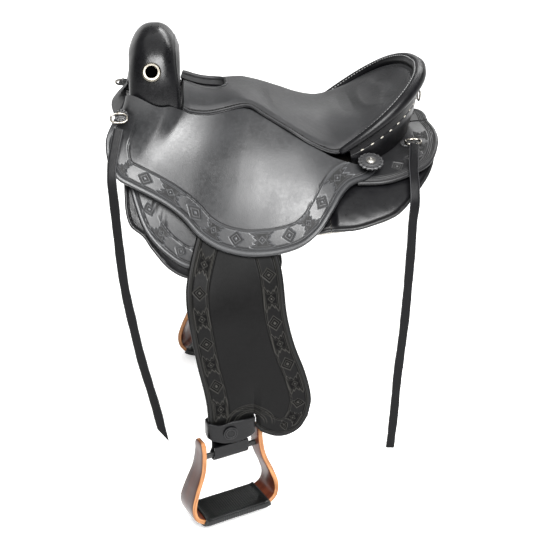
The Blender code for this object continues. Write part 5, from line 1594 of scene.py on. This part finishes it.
def stirrup_rings(first, last, count, around, grow, power):
    """Sections of the bent frame between two shares of its length, and their marks."""
    t = np.linspace(first, last, count)
    middle = along(STIRRUP_PATH, t)
    ahead, behind = (along(STIRRUP_PATH, np.clip(t + step, 0, 1)) for step in (0.006, -0.006))
    run = unit(ahead[:, :2] - behind[:, :2])
    across = BOLT_WAY * -run[:, 1:2] + np.array([0, 0, 1.0]) * run[:, 0:1]
    spot = STIRRUP_TOP + BOLT_WAY * middle[:, 0:1] + np.array([0, 0, 1.0]) * middle[:, 1:2]
    angle = 2 * math.pi * (np.arange(around) + 0.5) / around
    c, s = rounded(angle, power)
    wide = THROUGH * (c[None] * (middle[:, 2:3] / 2 + grow))[..., None]
    deep = across[:, None] * (s * (STIRRUP_THICK / 2 + grow))[None, :, None]
    rings = spot[:, None] + wide + deep
    reach = reach_of(spot)
    marks = {
        "run": reach[:, None] + 0 * c[None],
        "wide": c[None] * middle[:, 2:3] / 2,
        "deep": (s * STIRRUP_THICK / 2)[None] + 0 * middle[:, 2:3],
        "edge": ramp(abs(c), 0.93, 0.975)[None] + 0 * middle[:, 2:3],
        "outside": ((s < 0) * 0.85)[None] + 0 * middle[:, 2:3],
    }
    return rings, marks, across, spot


def build_stirrup():
    """The bent wood frame, its ends pulled in round."""
    rings, marks, across, spot = stirrup_rings(0, 1, 260, 64, 0.0, 6.0)
    inward = (across[5] * (spot[130] - spot[5])).sum()
    if inward < 0:
        marks["outside"] = 0.85 - marks["outside"]
    end = np.linspace(0, 1, 260)
    end = np.minimum(end, 1 - end) * 260 / 7
    pull = (1 - rolled(np.minimum(end, 1.0), 1.0))[:, None, None]
    rings = rings + (spot[:, None] - rings) * pull * 0.30
    piece = loft("stirrup_left_look", rings, marks=marks, sharp=50)
    pair(piece, "stirrup", "stirrup", WOOD, "stirrup")


build_stirrup()


def build_tread_cover():
    """The leather sewn round the stirrup's tread."""
    rings, _, _, spot = stirrup_rings(*TREAD_SPAN, 160, 64, TREAD_COVER[1], 5.0)
    inner, _, _, _ = stirrup_rings(*TREAD_SPAN, 160, 64, TREAD_COVER[0], 6.0)
    t = np.linspace(0, 1, 160)
    edge = np.minimum(t, 1 - t) * 0.128
    fold = 0.0004 * (np.sin(t * 190) * ridge(t, 0.5, 0.5))[:, None] + 0.0007 * lumps(rings, 0.035, 51)
    hem = 0.0006 * ridge(edge, 0.0025, 0.0022)[:, None]
    out = unit(rings - spot[:, None])
    rise = fold * 0.7 + hem - 0.0005 * (1 - rolled(edge, 0.002))[:, None]
    rings = rings + out * rise[..., None]
    rows, around = rings.shape[:2]
    points = np.concatenate([rings, inner[::-1]]).reshape(-1, 3)
    quads = grid_quads(2 * rows, around, wrap_rows=True, wrap_columns=True)
    # the edges near the hems painted lighter: wear and painted highlight
    wear_and_highlight = np.concatenate([0.5 * ridge(edge, 0.0012, 0.0012)[:, None] + 0 * rings[..., 0], 0 * rings[..., 0]])
    piece = mesh_object("tread_cover_left_look", points, quads, {"wear_and_highlight": wear_and_highlight})
    pair(piece, "tread_cover", "stirrup", TREAD_LEATHER, "tread_cover")


build_tread_cover()

# ---------------------------------------------------------------- CAD nodes that stay

KEPT = {
    # the tree's near-black rawhide is painted shade in the gaps
    "tree_": SHADED_RAWHIDE,
    "ground_seat": BLACK,
    "grommet": SHADED_GROMMET_NICKEL,
    "rigging_plate": STEEL,
    "stirrup_bolt": DARK_STEEL,
    "stirrup_buckle": STEEL,
    "stirrup_strap": BLACK,
    "cantle_keeper": BLACK,
}
for name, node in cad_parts.items():
    for stem, material in KEPT.items():
        if name.startswith(stem):
            node.data.materials.clear()
            node.data.materials.append(material)

# ---------------------------------------------------------------- studio


def plain(name, colour, rough, glow):
    material, _, shader, _ = new_material(name)
    shader.inputs["Base Color"].default_value = (*colour, 1)
    shader.inputs["Roughness"].default_value = rough
    shader.inputs["Emission Color"].default_value = (1, 1, 1, 1)
    shader.inputs["Emission Strength"].default_value = glow
    return material


FLOOR_Z, FLOOR_REACH = -0.5785, 60.0
floor_mesh = bpy.data.meshes.new("floor")
corners = [(x * FLOOR_REACH, y * FLOOR_REACH, FLOOR_Z) for x, y in ((-1, -1), (1, -1), (1, 1), (-1, 1))]
floor_mesh.from_pydata(corners, [], [(0, 1, 2, 3)])
floor_mesh.materials.append(plain("floor", (0.93, 0.93, 0.93), 0.9, 0.48))
floor = bpy.data.objects.new("floor", floor_mesh)
scene.collection.objects.link(floor)


def softbox(name, place, aim, size, power):
    data = bpy.data.lights.new(name, "AREA")
    data.shape = "RECTANGLE"
    data.size, data.size_y = size
    data.energy = power
    light = bpy.data.objects.new(name, data)
    light.location = place
    way = Vector(aim) - Vector(place)
    light.rotation_euler = way.to_track_quat("-Z", "Y").to_euler()
    scene.collection.objects.link(light)


softbox("key", (0.14, -1.55, 1.95), (-0.02, -0.15, 0.0), (1.4, 0.9), 150)
softbox("fill", (0.10, -2.50, 1.55), (-0.02, -0.20, -0.05), (1.5, 0.8), 105)
softbox("rim", (0.9, 1.9, 1.5), (0.1, 0.0, 0.05), (1.6, 0.6), 30)
overhead = bpy.data.lights.new("overhead", "SUN")
overhead.energy = 1.25
overhead.angle = math.radians(70)
sky = bpy.data.objects.new("overhead", overhead)
sky.rotation_euler = (math.radians(-8), math.radians(4), 0)
scene.collection.objects.link(sky)
world = bpy.data.worlds.new("studio")
world.use_nodes = True
world.node_tree.nodes["Background"].inputs[0].default_value = (1, 1, 1, 1)
# pale round the horizon, to carry on the floor, and dim overhead
sky_tree = world.node_tree
way = sky_tree.nodes.new("ShaderNodeTexCoord").outputs["Generated"]
split = sky_tree.nodes.new("ShaderNodeSeparateXYZ")
sky_tree.links.new(way, split.inputs[0])
glow = span(sky_tree, split.outputs[2], 0.13, 0.24, 0.95, 0.16)
sky_tree.links.new(glow, sky_tree.nodes["Background"].inputs[1])
scene.world = world
